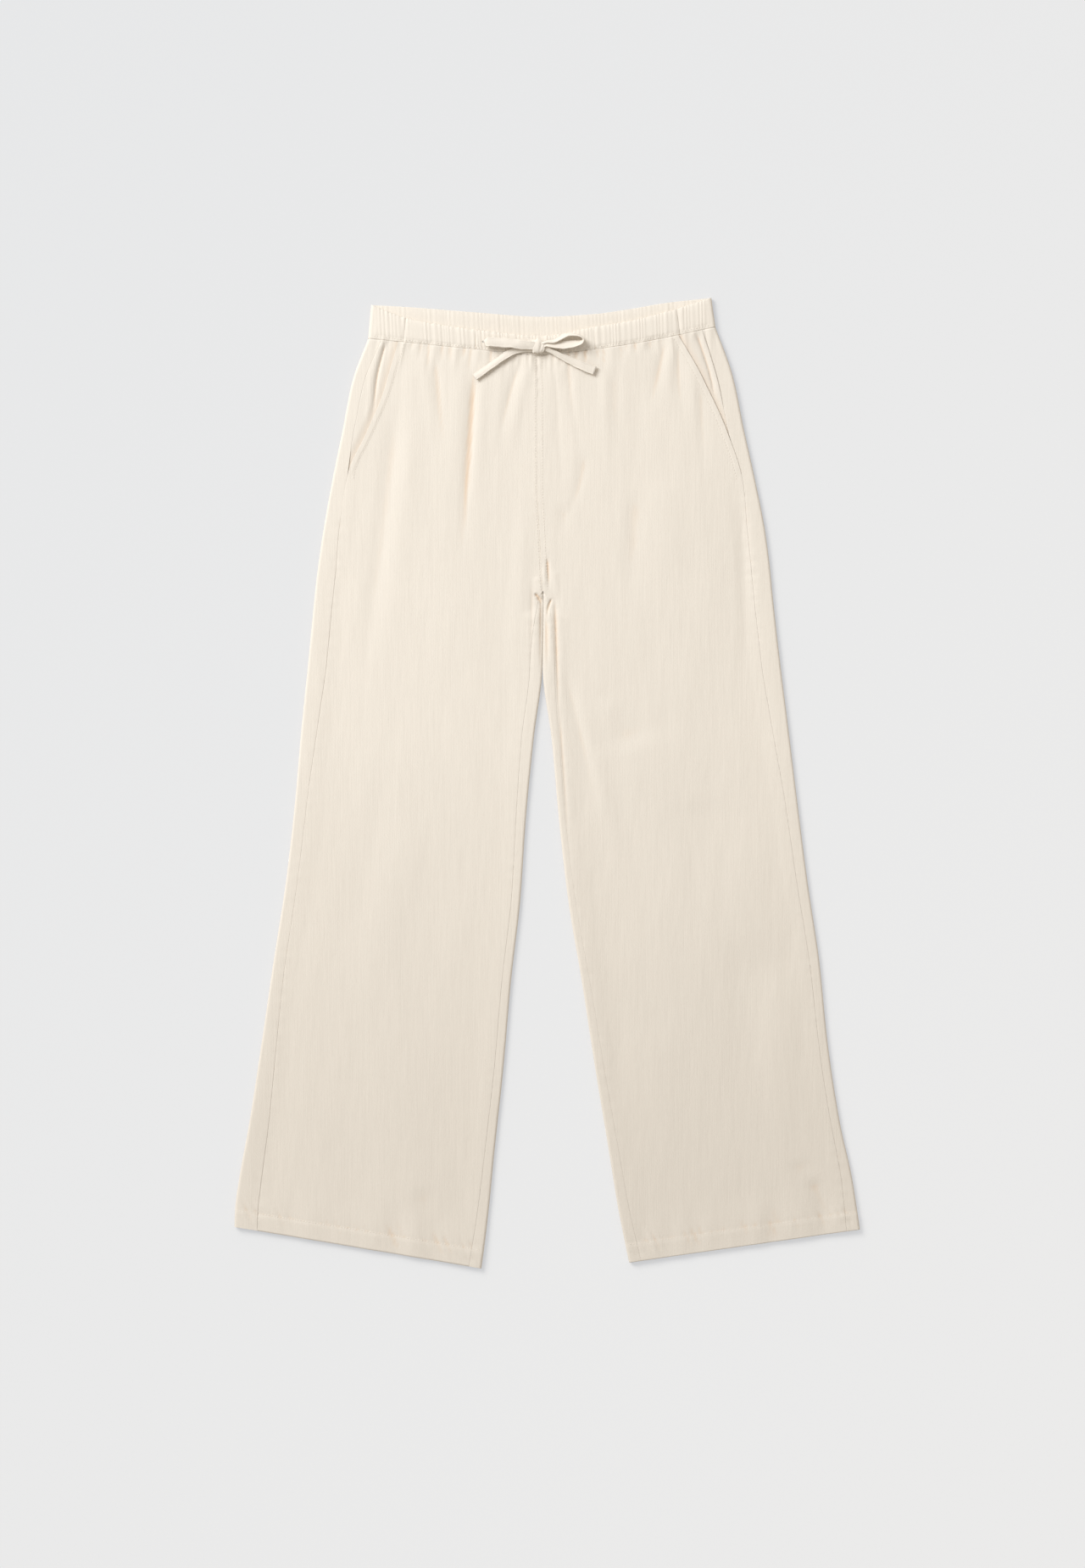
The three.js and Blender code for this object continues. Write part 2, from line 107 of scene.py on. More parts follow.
LEFT_LEG = (
    (188.5, 510, -11, 478, 14.7, 41.7, 0, 6.6, 6.6),
    (208, 455, -11, 436, 18, 33.5, 0, 6.0, 6.2),
    (220.5, 395, -11, 385, 18, 19.5, 0, 5.6, 5.9),
    (232, 343, -11, 337, 14, 14, 0, 5.2, 5.6),
    (244.4, 280, -8, 272, 20, 20, 0, 4.6, 5.4),
    (251, 226, -5, 216, 21, 21, 0, 4.2, 5.3),
    (251.8, 217, -4.0, 207, 21, 21, 5, 4.2, 5.3),
    (260.3, 140, -5.1, 130, 21, 21, 14, 4.0, 5.2),
    (270, 62, 5, 50, 18, 18, 8.5, 3.9, 5.1),
    (280.6, -25, 13.2, -40, 13.5, 13.5, 7.5, 3.9, 5.1),
    (291.5, -110, 23.5, -130, 12, 12, 8, 3.9, 5.1),
    (304.8, -200, 39, -223, 11, 11, 9, 3.9, 5.1),
    (314, -290, 53.5, -317, 10, 10, 10, 3.9, 5.1),
    (327.8, -380, 69.2, -412, 10, 10, 11, 3.9, 5.1),
    (341, -440, 79, -473, 12, 12, 12, 4.1, 5.2),
    (347.5, -481, 87.8, -517.5, 14, 14, 13, 4.8, 5.6),
    (350.1, -499.2, 91.7, -536.3, 15, 15, 13.5, 4.9, 5.7),
)
# Rows of the sections: the lower end of the pocket, the last row of the centre seam, the row where
# the inseam starts and the hem's step.
POCKET_END, PARTING, CROTCH, HEM_STITCH = 3, 5, 6, 15

# Pleats, creases and broad swells of the upper layer. bow swings the middle to the left of the line,
# width is the half width, height below 0 is a trough, and power is 2 for a soft one, near 1 for a
# sharp one.
FOLD_COLUMNS = ("x0", "y0", "x1", "y1", "bow", "width", "height", "power")
FOLDS = (
    (-80.5, 476, -98, 222, 0, 4.2, -3.4, 1.2),  # the long pleat under the bow's right end
    (-70, 474, -86, 260, 0, 8, 1.4, 2),
    (-96, 470, -108, 300, 2, 9, 0.8, 2),
    (-127, 486, -113, 348, 0, 4.2, -1.5, 1.4),
    (-139, 486, -128, 370, 0, 7, 0.9, 2),
    (-151, 486, -160, 320, 0, 9, 0.8, 2),
    (-164, 450, -214, 50, 0, 11, -2.4, 1.8),  # beside the right pocket and down the thigh
    (-146, 430, -190, 60, 0, 14, 1.3, 2),
    (-28, 478, -57, 362, -3, 4.2, -1.5, 1.3),
    (-19, 476, -44, 352, -3, 7, 1.2, 2),
    (-48, 478, -66, 330, 0, 8, 0.9, 2),
    (-22, 330, -36, -10, -4, 10, 1.4, 2),
    (8, 476, 16, 300, 1, 4, -1.0, 1.3),
    (24, 476, 41, 352, -3, 4.5, -1.5, 1.4),
    (42, 372, 17, 284, 5, 5, -1.3, 1.5),
    (17.5, 312, 17.5, 262, 0, 7, -1.0, 2),
    (31, 470, 30, 330, 0, 6, 0.8, 2),
    (64, 476, 69, 330, -1, 5.5, 1.4, 1.6),
    (77, 470, 80, 350, -1, 7, -0.8, 2),
    (99, 480, 99, 230, 2, 11, -1.1, 2),
    (133, 498, 111, 400, 0, 5, -1.7, 1.3),
    (142, 500, 128, 400, 0, 6, 0.9, 2),
    (148, 502, 155, 390, -4, 4.5, -1.3, 1.3),
    (158, 480, 170, 370, 0, 7, 0.9, 2),
    (171, 455, 181, 320, -2, 6, -1.2, 1.5),
    (98, 330, 84, 190, 3, 9, -1.2, 2),
    (126, 350, 136, 150, 0, 22, 1.5, 2),
    (214, 350, 216, 55, 7, 8, -2.4, 1.8),  # below the left pocket
    (14, 140, 64, -80, 4, 6, -1.7, 1.7),  # from the crotch across the left thigh
    (27, 120, 88, -150, 5, 12, 1.9, 2),
    (66, 100, 74, 15, 0, 14, 1.3, 2),
    (92, 60, 124, -70, 0, 38, 2.6, 2),
    (170, -10, 186, -150, 0, 30, -1.2, 2),
    (219, -160, 226, -450, 0, 30, -2.6, 2),
    (262, -190, 262, -440, 0, 24, 1.8, 2),
    (120, -260, 150, -470, 0, 26, 1.3, 2),
    (296, -440, 318, -500, 0, 9, -2.4, 1.8),
    (281, -420, 290, -470, 0, 12, -1.0, 2),
    (-150, -20, -215, -330, 0, 22, 1.1, 2),
    (-175, 20, -250, -300, 0, 16, -0.7, 2),
    (-100, -100, -130, -420, 0, 26, 0.9, 2),
    (-142, -450, -126, -526, 0, 13, -1.3, 2),
    (-40, -200, -64, -460, 0, 14, 0.8, 2),
)
FOLD_DEPTH = 0.72  # the share of the heights above that the cloth takes

# The bunched cloth of the crotch, where the legs part and the left inseam is drawn in.
CROTCH_FOLDS = (
    (0, 254, 2.6, 212, 0, 1.7, -1.7, 1.4),
    (-3.5, 246, -2, 208, 0, 2.2, 0.7, 2),
    (-14.5, 213, -1, 199, 0, 1.5, -2.6, 1.4),
    (-12, 208, -3, 195, 1, 1.2, -1.6, 1.4),
    (-13, 232, -8, 204, 2, 4.5, 0.9, 2),
    (6, 208, 0.8, 180, -2.5, 1.4, -2.0, 1.4),
    (7, 240, 9, 200, 2, 3.2, 0.6, 2),
    (-5.2, 214, -5.2, 96, 0, 3.0, -3.2, 1.6),
    (-1, 186, 1, 118, 0, 2.2, -1.5, 1.6),
    (8, 216, 13.4, 44, 0.5, 2.3, -1.9, 1.4),
    (13.2, 90, 27, -110, 0, 2.4, -1.1, 1.5),
    (-16.5, 236, -18.5, 96, 0, 2.0, -0.7, 1.6),
)

# Edges of the waistband, from the right side fold to the left one.
BAND_X = (-197, -158, -119, -81, -5, 52, 89, 137, 183.8)
BAND_FRONT = (535, 520, 512.5, 507, 500, 510, 516, 528, 542.9)
BAND_BACK = (535, 533, 530, 527, 522, 525, 530, 538, 542.9)
BAND_SEAM_RIGHT, BAND_SEAM_LEFT = -158, 145
BAND_SEAM_DEPTH = 0.7
BAND_DARTS = (-79, 52)  # x of the two stitched stops of the elastic
BAND_HEIGHT = 6.6
BAND_SWELL = 0.45  # of the elastic inside
BAND_RELIEF, BAND_INSIDE_RELIEF, BAND_UNDER_RELIEF = 0.24, 0.14, 0.3
BAND_SEED, BAND_BACK_SEED = 61, 77

# The drawstring's route, given point by point along it, close to the CAD part's. Each point is (x, y, z,
# roll, breadth):
# roll is in degrees, 0 lies flat and 90 stands on its edge, and breadth is the share of the tape's
# width that is left where it folds lengthwise.
TAPE_WIDTH, TAPE_THICK = 10.0, 1.4
KNOT = {"centre": (-10.2, 487.6, 10.9), "size": (17, 15.5, 7.8), "turn": -16}
RIGHT_EXIT, LEFT_EXIT = (-14, 489, 7), (-1, 489, 7)
RIGHT_ROUTE = (
    (-9, 490, 9.5, 0, 0.6), (-14.6, 491, 11, 8, 0.9), (-24, 490.8, 11, 10, 1), (-36, 490.8, 11, 6, 1),
    (-50, 491.2, 10.8, 0, 1), (-60, 491.8, 10.6, 0, 1), (-66, 492, 10.7, 0, 1),
    (-69, 492, 12.5, 0, 0.84), (-66, 492, 14.1, 0, 0.97), (-60, 491.9, 14.3, -2, 1.02),
    (-50, 491.4, 14.2, -4, 1.04), (-38, 490.4, 14.1, -6, 1.04), (-31, 489.2, 14.4, 10, 1.0),
    (-23, 488.4, 14.4, 14, 0.98), (-16, 488.2, 13.8, 8, 0.85), (-8.5, 488, 12.2, 6, 0.7),
    (-9, 487, 10, 0, 0.7), (-14.6, 485.4, 8.6, 0, 0.75), (-24, 485.2, 8.7, 0, 0.75),
    (-34, 483.6, 8.9, 0, 0.75), (-45, 478.6, 9.3, 8, 0.78), (-57, 470.4, 9.6, 14, 0.76),
    (-69, 461.8, 9.5, 12, 0.74), (-81, 453.4, 9.2, 8, 0.78),
)
LEFT_ROUTE = (
    (-6, 491, 11, 90, 0.6), (-0.5, 492.4, 12.8, 112, 0.7), (7, 493.2, 13, 120, 0.8),
    (14, 496, 13, 122, 0.85), (20.4, 499.8, 13, 122, 0.9), (27.5, 501, 13, 116, 0.92),
    (35.5, 499.4, 13, 104, 0.95), (40.2, 495.6, 13, 84, 0.97), (37.6, 492.2, 13, 56, 1),
    (30, 490, 13, 34, 1), (21, 488.9, 13, 26, 1), (11, 488.8, 13, 26, 0.92),
    (5, 489.2, 13.2, 26, 0.8), (-0.5, 489.4, 13, 20, 0.6), (-5, 488, 11.8, 10, 0.5),
    (-4, 486, 10.4, 0, 0.5), (0.1, 484.6, 9.9, 10, 0.5), (6, 481.8, 9.7, 20, 0.52),
    (14, 477.8, 9.5, 22, 0.6), (23, 473.4, 9.4, 14, 0.74), (32, 469.2, 9.5, 8, 0.86),
    (42, 465, 9.5, 4, 0.94), (53.5, 460.6, 9.4, 2, 1.02),
)

# Photograph's framing: the camera looks straight down, 0.95 mm of cloth to a picture element.
PICTURE = (1280, 1849)
MM_PER_PIXEL = 0.95
CAMERA_PLACE = (-5.2, -1.0)
CAMERA_HEIGHT = 3200
CAMERA_REACH = 20  # metres
SENSOR = 36

# --- plain numbers ---


def mix(a, b, t):
    return a + (b - a) * t


def smooth(t):
    t = np.clip(t, 0, 1)
    return t * t * (3 - 2 * t)


def rounded(value, power):
    return np.sign(value) * np.abs(value) ** power


def bell(t, power=2):
    return np.exp(-(t**power))


def curve(keys, values, at):
    """A smooth curve through values at rising keys, which doesn't overshoot them."""
    keys, values = np.asarray(keys, float), np.asarray(values, float)
    step = np.diff(keys)
    slope = np.diff(values) / step
    tangent = np.zeros(len(values))
    same = slope[:-1] * slope[1:] > 0
    both = np.where(same, slope[:-1] + slope[1:], 1)
    tangent[1:-1] = np.where(same, 2 * slope[:-1] * slope[1:] / both, 0)
    tangent[0], tangent[-1] = slope[0], slope[-1]
    k = np.clip(np.searchsorted(keys, at, side="right") - 1, 0, len(step) - 1)
    t = (at - keys[k]) / step[k]
    rest = (1 - t) * step[k] * t
    return (
        values[k] * (1 + 2 * t) * (1 - t) ** 2
        + values[k + 1] * t * t * (3 - 2 * t)
        + rest * ((1 - t) * tangent[k] - t * tangent[k + 1])
    )


def ripple(x, y, seed, size, stretch=1.0, count=14):
    """Soft uneven relief between about -1 and 1, size wide and stretch times as long in y."""
    rng = np.random.default_rng(seed)
    total = np.zeros(np.broadcast(x, y).shape)
    for _ in range(count):
        angle = rng.uniform(0, 2 * math.pi)
        rate = 2 * math.pi / (size * rng.uniform(0.7, 1.6))
        phase = rng.uniform(0, 2 * math.pi)
        total += np.sin(rate * (x * math.cos(angle) + y * math.sin(angle) / stretch) + phase)
    return total / math.sqrt(count)


def uneven(t, seed, size, count=10):
    """The same along one line."""
    rng = np.random.default_rng(seed)
    total = np.zeros(np.shape(t))
    for _ in range(count):
        rate = 2 * math.pi / (size * rng.uniform(0.65, 1.7))
        total += np.sin(rate * t + rng.uniform(0, 2 * math.pi))
    return total / math.sqrt(count)


# --- the legs' form ---


class Leg:
    """The sections of one leg, read at any distance down its outer fold."""

    def __init__(self, rows, seed):
        self.rows = np.array(rows, float)
        self.side = float(np.sign(self.rows[0, 0]))
        self.seed = seed
        self.down = self.rows[0, 1] - self.rows[:, 1]

    def at(self, down):
        values = {c: curve(self.down, self.rows[:, k], down) for k, c in enumerate(SECTION_COLUMNS)}
        values["down"] = down
        return values

    def places(self, step, last=None):
        """Distances down the leg, closer at the waist and the hem, with the rows that must be met."""
        end = self.down[-1 if last is None else last]
        places = [0.0]
        while places[-1] < end:
            here = places[-1]
            from_crotch = abs(here - self.down[CROTCH])
            near = min(here, from_crotch, abs(end - here))
            finer = 0.3 + 0.7 * smooth((from_crotch - 14) / 30)
            places.append(here + step * (0.55 + 0.75 * smooth(near / 90)) * finer)
        places = np.array(places[:-1] + [end])
        for must in (PARTING, CROTCH, HEM_STITCH):
            if self.down[must] < end:
                places[np.abs(places - self.down[must]).argmin()] = self.down[must]
        return places


RIGHT, LEFT = Leg(RIGHT_LEG, 11), Leg(LEFT_LEG, 23)
LEGS = (("right", RIGHT), ("left", LEFT))


def line_y(leg, section, x):
    t = (x - section["outer_x"]) / (section["inner_x"] - section["outer_x"])
    first = np.clip(1 - section["down"] / leg.down[1], 0, 1)
    dip = WAIST_DIP * np.sin(math.pi * np.clip(t, 0, 1)) * first if leg.side > 0 else 0
    return mix(section["outer_y"], section["inner_y"], t) - dip


def back_line_y(leg, section, x):
    t = (x - section["outer_x"]) / (section["inner_x"] - section["outer_x"])
    from_fold = (x - section["outer_x"]) / (CENTRE_BACK - section["outer_x"])
    waist = mix(section["outer_y"], BACK_WAIST, from_fold)
    first = np.clip(1 - section["down"] / leg.down[1], 0, 1)
    return mix(mix(section["outer_y"], section["inner_y"], t), waist, first)


def folds(rows, x, y):
    height = np.zeros(np.broadcast(x, y).shape)
    for row in rows:
        fold = dict(zip(FOLD_COLUMNS, row))
        dx, dy = fold["x1"] - fold["x0"], fold["y1"] - fold["y0"]
        length = math.hypot(dx, dy)
        t = ((x - fold["x0"]) * dx + (y - fold["y0"]) * dy) / length**2
        across = ((y - fold["y0"]) * dx - (x - fold["x0"]) * dy) / length
        inside = np.clip(t, 0, 1)
        off = np.abs(across - fold["bow"] * 4 * inside * (1 - inside)) / fold["width"]
        fade = smooth(inside / 0.22) * smooth((1 - inside) / 0.7)
        height += fold["height"] * fade * bell(off, fold["power"])
    return height


def gathers(x, y, waist_y):
    """Short puckers that run down from the elastic, uneven in length, depth and spacing."""
    rng = np.random.default_rng(GATHER_SEED)
    height = np.zeros(np.broadcast(x, y).shape)
    below = waist_y - y
    place = -200.0
    while place < 195:
        place += GATHER_SPACING * rng.uniform(0.55, 1.7)
        length, width = rng.uniform(12, 46), rng.uniform(1.6, 3.0)
        deep = rng.uniform(0.5, 1.15) * rng.choice((-1, 1), p=(0.6, 0.4))
        lean = 0.0009 * place + rng.uniform(-0.05, 0.05)
        off = (x - place - lean * below) / width
        fade = smooth(1 - below / length) * smooth((below + 4) / 6)
        height += deep * np.exp(-off * off) * fade
    return height


def seam_relief(from_seam, along, seed, allowance=True):
    """Groove of a seam, the step of its allowance and the puckers that its thread draws up."""
    groove = -SEAM_GROOVE * bell(from_seam / 1.7) * (1 + 0.4 * uneven(along, seed + 40, 31))
    step = SEAM_STEP * (1 - smooth((from_seam - ALLOWANCE) / 3)) if allowance else 0
    pucker = SEAM_PUCKER * uneven(along, seed, 12) * bell(from_seam / 6.5)
    return groove + step + pucker


def top_height(leg, section, x, on_front):
    """Height of the upper layer's outer surface, with everything that shows on it."""
    y = line_y(leg, section, x)
    down = section["down"]
    from_outer = np.abs(x - section["outer_x"])
    from_inner = np.abs(x - section["inner_x"])
    on_inseam = smooth((down - leg.down[CROTCH]) / 25)
    near = np.minimum(from_outer, from_inner + ROLL_REACH * (1 - on_inseam))
    roll = 1 - smooth((near - ROLL_FLAT) / (ROLL_REACH - ROLL_FLAT))
    height = mix(section["rest"], section["roll"], roll)

    hem_y = down - leg.down[HEM_STITCH]
    on_leg = smooth(down / 60) * smooth(-(hem_y + 8) / 30)
    waist_y = line_y(leg, leg.at(np.zeros_like(down)), x)
    height = height + FOLD_DEPTH * folds(FOLDS, x, y) * (1 - roll) + folds(CROTCH_FOLDS, x, y)
    height += gathers(x, y, waist_y) * (1 - 0.5 * roll)
    height += SWELL[0] * on_leg * ripple(x, y, leg.seed, *SWELL[1:]) * (1 - roll)
    height += RUMPLE[0] * on_leg * ripple(x, y, leg.seed + 1, *RUMPLE[1:]) * (1 - 0.6 * roll)
    height += GRAIN[0] * ripple(x, y, leg.seed + 2, *GRAIN[1:])

    from_outseam = np.abs(from_outer - section["mouth"])
    height += np.where(
        down > leg.down[POCKET_END],
        seam_relief(from_outseam, down, leg.seed + 3, on_front),
        0,
    )
    from_inseam = np.abs(from_inner - section["inseam"])
    height += on_inseam * seam_relief(from_inseam, down, leg.seed + 4, on_front)
    on_centre = smooth(down / 10) * (1 - on_inseam)
    height += on_centre * seam_relief(from_inner, down, CENTRE_SEED, leg.side < 0)
    if on_front:
        in_pocket = smooth((leg.down[POCKET_END] - down) / 8)
        past_stitch = from_outer - section["mouth"] - STITCH_INSET
        raised = POCKET_EDGE * (1 - smooth(past_stitch / 2.5))
        groove = POCKET_EDGE * bell(past_stitch / 1.3)
        height += in_pocket * (raised - groove)
    return np.maximum(height + hem_relief(leg, down, x), 1.7)


def hem_relief(leg, down, x):
    """Stitched step of the turned-up hem, with the slanting ripples that the thread makes."""
    above = leg.down[HEM_STITCH] - down
    on_hem = smooth((2 - above) / 2)
    stitch = -HEM_GROOVE * bell((above - HEM_STITCH_UP) / 1.3)
    near = bell(np.maximum(np.abs(above) - 3, 0) / 7)
    roping = HEM_ROPING * uneven(x + 0.55 * above, leg.seed + 7, 9.5) * near
    wide = HEM_WAVE * uneven(x, leg.seed + 8, 42) * bell(above / 24)
    return HEM_STEP * on_hem + stitch + roping + wide


def wall_at(leg, down):
    return mix(CLOTH, HEM_CLOTH, smooth((down - leg.down[HEM_STITCH]) / 1.5))


def dense_edges(count, crowd=2.2):
    """Fractions from 0 to 1 that lie closer together at both ends."""
    t = np.linspace(-1, 1, count)
    return 0.5 + 0.5 * np.tanh(crowd * t * 0.75) / math.tanh(crowd * 0.75)


# --- meshes ---


def painted_crease_shade(height):
    """How deep each point of a grid lies in a narrow crease, from 0 to 1, as the mask of the painted shade
    in creases.
    """
    soft = height.copy()
    for _ in range(8):
        padded = np.pad(soft, 1, mode="edge")
        soft = (
            padded[:-2, 1:-1] + padded[2:, 1:-1] + padded[1:-1, :-2] + padded[1:-1, 2:] + soft
        ) / 5
    return np.clip((soft - height - 0.16) / 0.8, 0, 1)


def painted_crotch_shade(x, y):
    """The same painted shade for the crotch's folds, from their own depth."""
    return 0.8 * np.clip(-folds(CROTCH_FOLDS, x, y) / 2.4 - 0.12, 0, 1)


def new_object(name, points, faces, material, painted_shade=None, smooth_count=None):
    mesh = bpy.data.meshes.new(name)
    mesh.from_pydata(points.tolist(), [], faces)
    smooth_count = len(faces) if smooth_count is None else smooth_count
    mesh.polygons.foreach_set("use_smooth", np.arange(len(mesh.polygons)) < smooth_count)
    if painted_shade is not None:
        # painted shade: the crease attribute holds how deep each point lies in a crease, and the cloth
        # material mixes warm shade in by it
        layer = mesh.attributes.new("crease", "FLOAT", "POINT")
        layer.data.foreach_set("value", painted_shade.astype(np.float32))
    mesh.materials.append(material)
    mesh.update()
    piece = bpy.data.objects.new(name, mesh)
    bpy.context.scene.collection.objects.link(piece)
    return piece


def layers(x, y, outer_z, inner_z):
    """The outer and the inner points of a wall."""
    return np.stack((x, y, outer_z), -1), np.stack((x, y, inner_z), -1)


def side_by_side(*strips):
    """The outer points of all the strips as one grid, and the inner points as another."""
    return [np.concatenate([strip[k] for strip in strips], axis=1) for k in (0, 1)]


def ring_faces(rings, count):
    """Quads of a tube of rings, each of count points."""
    faces = []
    for k in range(rings - 1):
        for j in range(count):
            a, b = k * count + j, k * count + (j + 1) % count
            faces.append((a, b, b + count, a + count))
    return faces


def shell(name, outer, inner, material, cells=None, painted_shade=None):
    """A closed wall between two grids of points, in millimetres, with its open edges closed."""
    rows, columns = outer.shape[:2]
    cells = np.ones((rows - 1, columns - 1), bool) if cells is None else cells
    index = np.arange(rows * columns).reshape(rows, columns)
    a, b, c, d = index[:-1, :-1], index[:-1, 1:], index[1:, 1:], index[1:, :-1]
    shift = rows * columns
    quads = [
        np.stack((a, b, c, d), -1)[cells],
        np.stack((d, c, b, a), -1)[cells] + shift,
    ]
    wide = np.pad(cells, 1)
    for start, end, missing in (
        (a, b, ~wide[:-2, 1:-1]), (b, c, ~wide[1:-1, 2:]),
        (c, d, ~wide[2:, 1:-1]), (d, a, ~wide[1:-1, :-2]),
    ):
        open_edge = cells & missing
        p, q = start[open_edge], end[open_edge]
        quads.append(np.stack((q, p, p + shift, q + shift), -1))
    faces = np.concatenate(quads)
    points = np.concatenate((outer.reshape(-1, 3), inner.reshape(-1, 3)))
    used = np.unique(faces)
    renumber = np.zeros(len(points), int)
    renumber[used] = np.arange(len(used))
    faces, points = renumber[faces], points[used]
    corner = points[faces]
    volume = sum(
        np.einsum("ij,ij->i", corner[:, 0], np.cross(corner[:, k], corner[:, k + 1])).sum() for k in (1, 2)
    )
    if volume < 0:
        faces = faces[:, ::-1]
    # painted shade on the outer points only; the inner points get none
    both = None
    if painted_shade is not None:
        both = np.concatenate((painted_shade.reshape(-1), np.zeros(painted_shade.size)))[used]
    return new_object(name, points * MM, faces.tolist(), material, both, 2 * int(cells.sum()))


# --- materials ---


def node(tree, kind, **inputs):
    made = tree.nodes.new(kind)
    for name, value in inputs.items():
        made.inputs[name.replace("_", " ")].default_value = value
    return made


def noise(tree, place, scale, detail=2.0, stretch=(1, 1, 1)):
    mapping = node(tree, "ShaderNodeMapping")
    mapping.inputs["Scale"].default_value = stretch
    tree.links.new(place, mapping.inputs["Vector"])
    made = node(tree, "ShaderNodeTexNoise", Scale=scale, Detail=detail, Roughness=0.55)
    tree.links.new(mapping.outputs["Vector"], made.inputs["Vector"])
    return made.outputs["Fac"]


def twill(tree, place, period):
    """Fine diagonal ribs, period millimetres apart."""
    wave = node(tree, "ShaderNodeTexWave", Scale=0.444 / (period * MM), Distortion=1.2)
    wave.inputs["Detail"].default_value = 1.0
    wave.inputs["Detail Scale"].default_value = 0.6
    wave.bands_direction = "DIAGONAL"
    tree.links.new(place, wave.inputs["Vector"])
    return wave.outputs["Fac"]


def blend_colour(tree, factor, first, second, how="MIX"):
    made = tree.nodes.new("ShaderNodeMix")
    made.data_type = "RGBA"
    made.blend_type = how
    for socket, value in ((0, factor), (6, first), (7, second)):
        if isinstance(value, bpy.types.NodeSocket):
            tree.links.new(value, made.inputs[socket])
        else:
            made.inputs[socket].default_value = value if socket == 0 else (*value, 1)
    return made.outputs[2]


def scaled(tree, value, low, high, to_low, to_high):
    made = node(tree, "ShaderNodeMapRange")
    for socket, number in zip(range(1, 5), (low, high, to_low, to_high)):
        made.inputs[socket].default_value = number
    tree.links.new(value, made.inputs[0])
    return made.outputs[0]


def bump(tree, height, distance, under=None):
    made = node(tree, "ShaderNodeBump", Strength=1.0, Distance=distance)
    tree.links.new(height, made.inputs["Height"])
    if under is not None:
        tree.links.new(under, made.inputs["Normal"])
    return made.outputs["Normal"]


def new_material(name):
    """A new material, its nodes, its shader and the place on the piece."""
    material = bpy.data.materials.new(name)
    material.use_nodes = True
    tree = material.node_tree
    place = node(tree, "ShaderNodeTexCoord").outputs["Object"]
    return material, tree, tree.nodes["Principled BSDF"], place


def cloth_material(name, colour, shaded, slub=1.0, rib=0.9):
    """Soft cotton twill: vertical slubs, ribs rib millimetres apart, painted warm shade in creases, and
    painted shade that darkens it towards the hems.
    """
    material, tree, shader, place = new_material(name)
    cloudy = noise(tree, place, 7.0, 3.0, (1, 0.5, 1))
    streaks = noise(tree, place, 60.0, 4.0, (12, 0.35, 12))
    threads = noise(tree, place, 900.0, 2.0, (1.6, 0.35, 1.6))
    ribs = twill(tree, place, rib)
    crease = node(tree, "ShaderNodeAttribute")
    crease.attribute_name = "crease"
    light = tuple(min(1, c * 1.035) for c in colour)
    dark = tuple(c * 0.955 for c in colour)
    tone = blend_colour(tree, scaled(tree, cloudy, 0.3, 0.7, 0, 1), colour, light)
    tone = blend_colour(tree, scaled(tree, streaks, 0.35, 0.75, 0, 0.55 * slub), tone, dark)
    tone = blend_colour(tree, scaled(tree, threads, 0.3, 0.8, 0, 0.35), tone, dark)
    # painted warm shade: SHADED mixed in, up to 75%, where the crease attribute says a point lies deep in
    # a crease
    tone = blend_colour(tree, scaled(tree, crease.outputs["Fac"], 0, 1, 0, 0.75), tone, shaded)
    # painted shade: the colour is multiplied darker from y 0.05 m down to -0.38 m, in place of the light's
    # falloff towards the hems
    spot = node(tree, "ShaderNodeSeparateXYZ")
    tree.links.new(place, spot.inputs[0])
    low = scaled(tree, spot.outputs["Y"], 0.05, -0.38, 0, 1)
    tone = blend_colour(tree, low, tone, PAINTED_FALLOFF_SHADE, "MULTIPLY")
    tree.links.new(tone, shader.inputs["Base Color"])
    rough = scaled(tree, threads, 0.2, 0.8, 0.82, 0.96)
    tree.links.new(rough, shader.inputs["Roughness"])
    shader.inputs["Specular IOR Level"].default_value = 0.25
    shader.inputs["Sheen Weight"].default_value = 0.12
    shader.inputs["Sheen Roughness"].default_value = 0.6
    normal = bump(tree, noise(tree, place, 26.0, 2.0, (2.2, 0.45, 1)), 0.0006)
    normal = bump(tree, streaks, 0.00020 * slub, normal)
    normal = bump(tree, threads, 0.00016, normal)
    normal = bump(tree, ribs, 0.00012, normal)
    tree.links.new(normal, shader.inputs["Normal"])
    return material


def thread_material():
    material, tree, shader, place = new_material("thread")
    twist = noise(tree, place, 1500.0, 1.0)
    tone = blend_colour(tree, scaled(tree, twist, 0.3, 0.7, 0, 1), THREAD, ECRU)
    tree.links.new(tone, shader.inputs["Base Color"])
    tree.links.new(scaled(tree, twist, 0, 1, 0.5, 0.75), shader.inputs["Roughness"])
    tree.links.new(bump(tree, twist, 0.0001), shader.inputs["Normal"])
    return material


def math_node(tree, operation, first, second):
    made = tree.nodes.new("ShaderNodeMath")
    made.operation = operation
    for socket, value in zip(made.inputs, (first, second)):
        if isinstance(value, bpy.types.NodeSocket):
            tree.links.new(value, socket)
        else:
            socket.default_value = value
    return made.outputs[0]


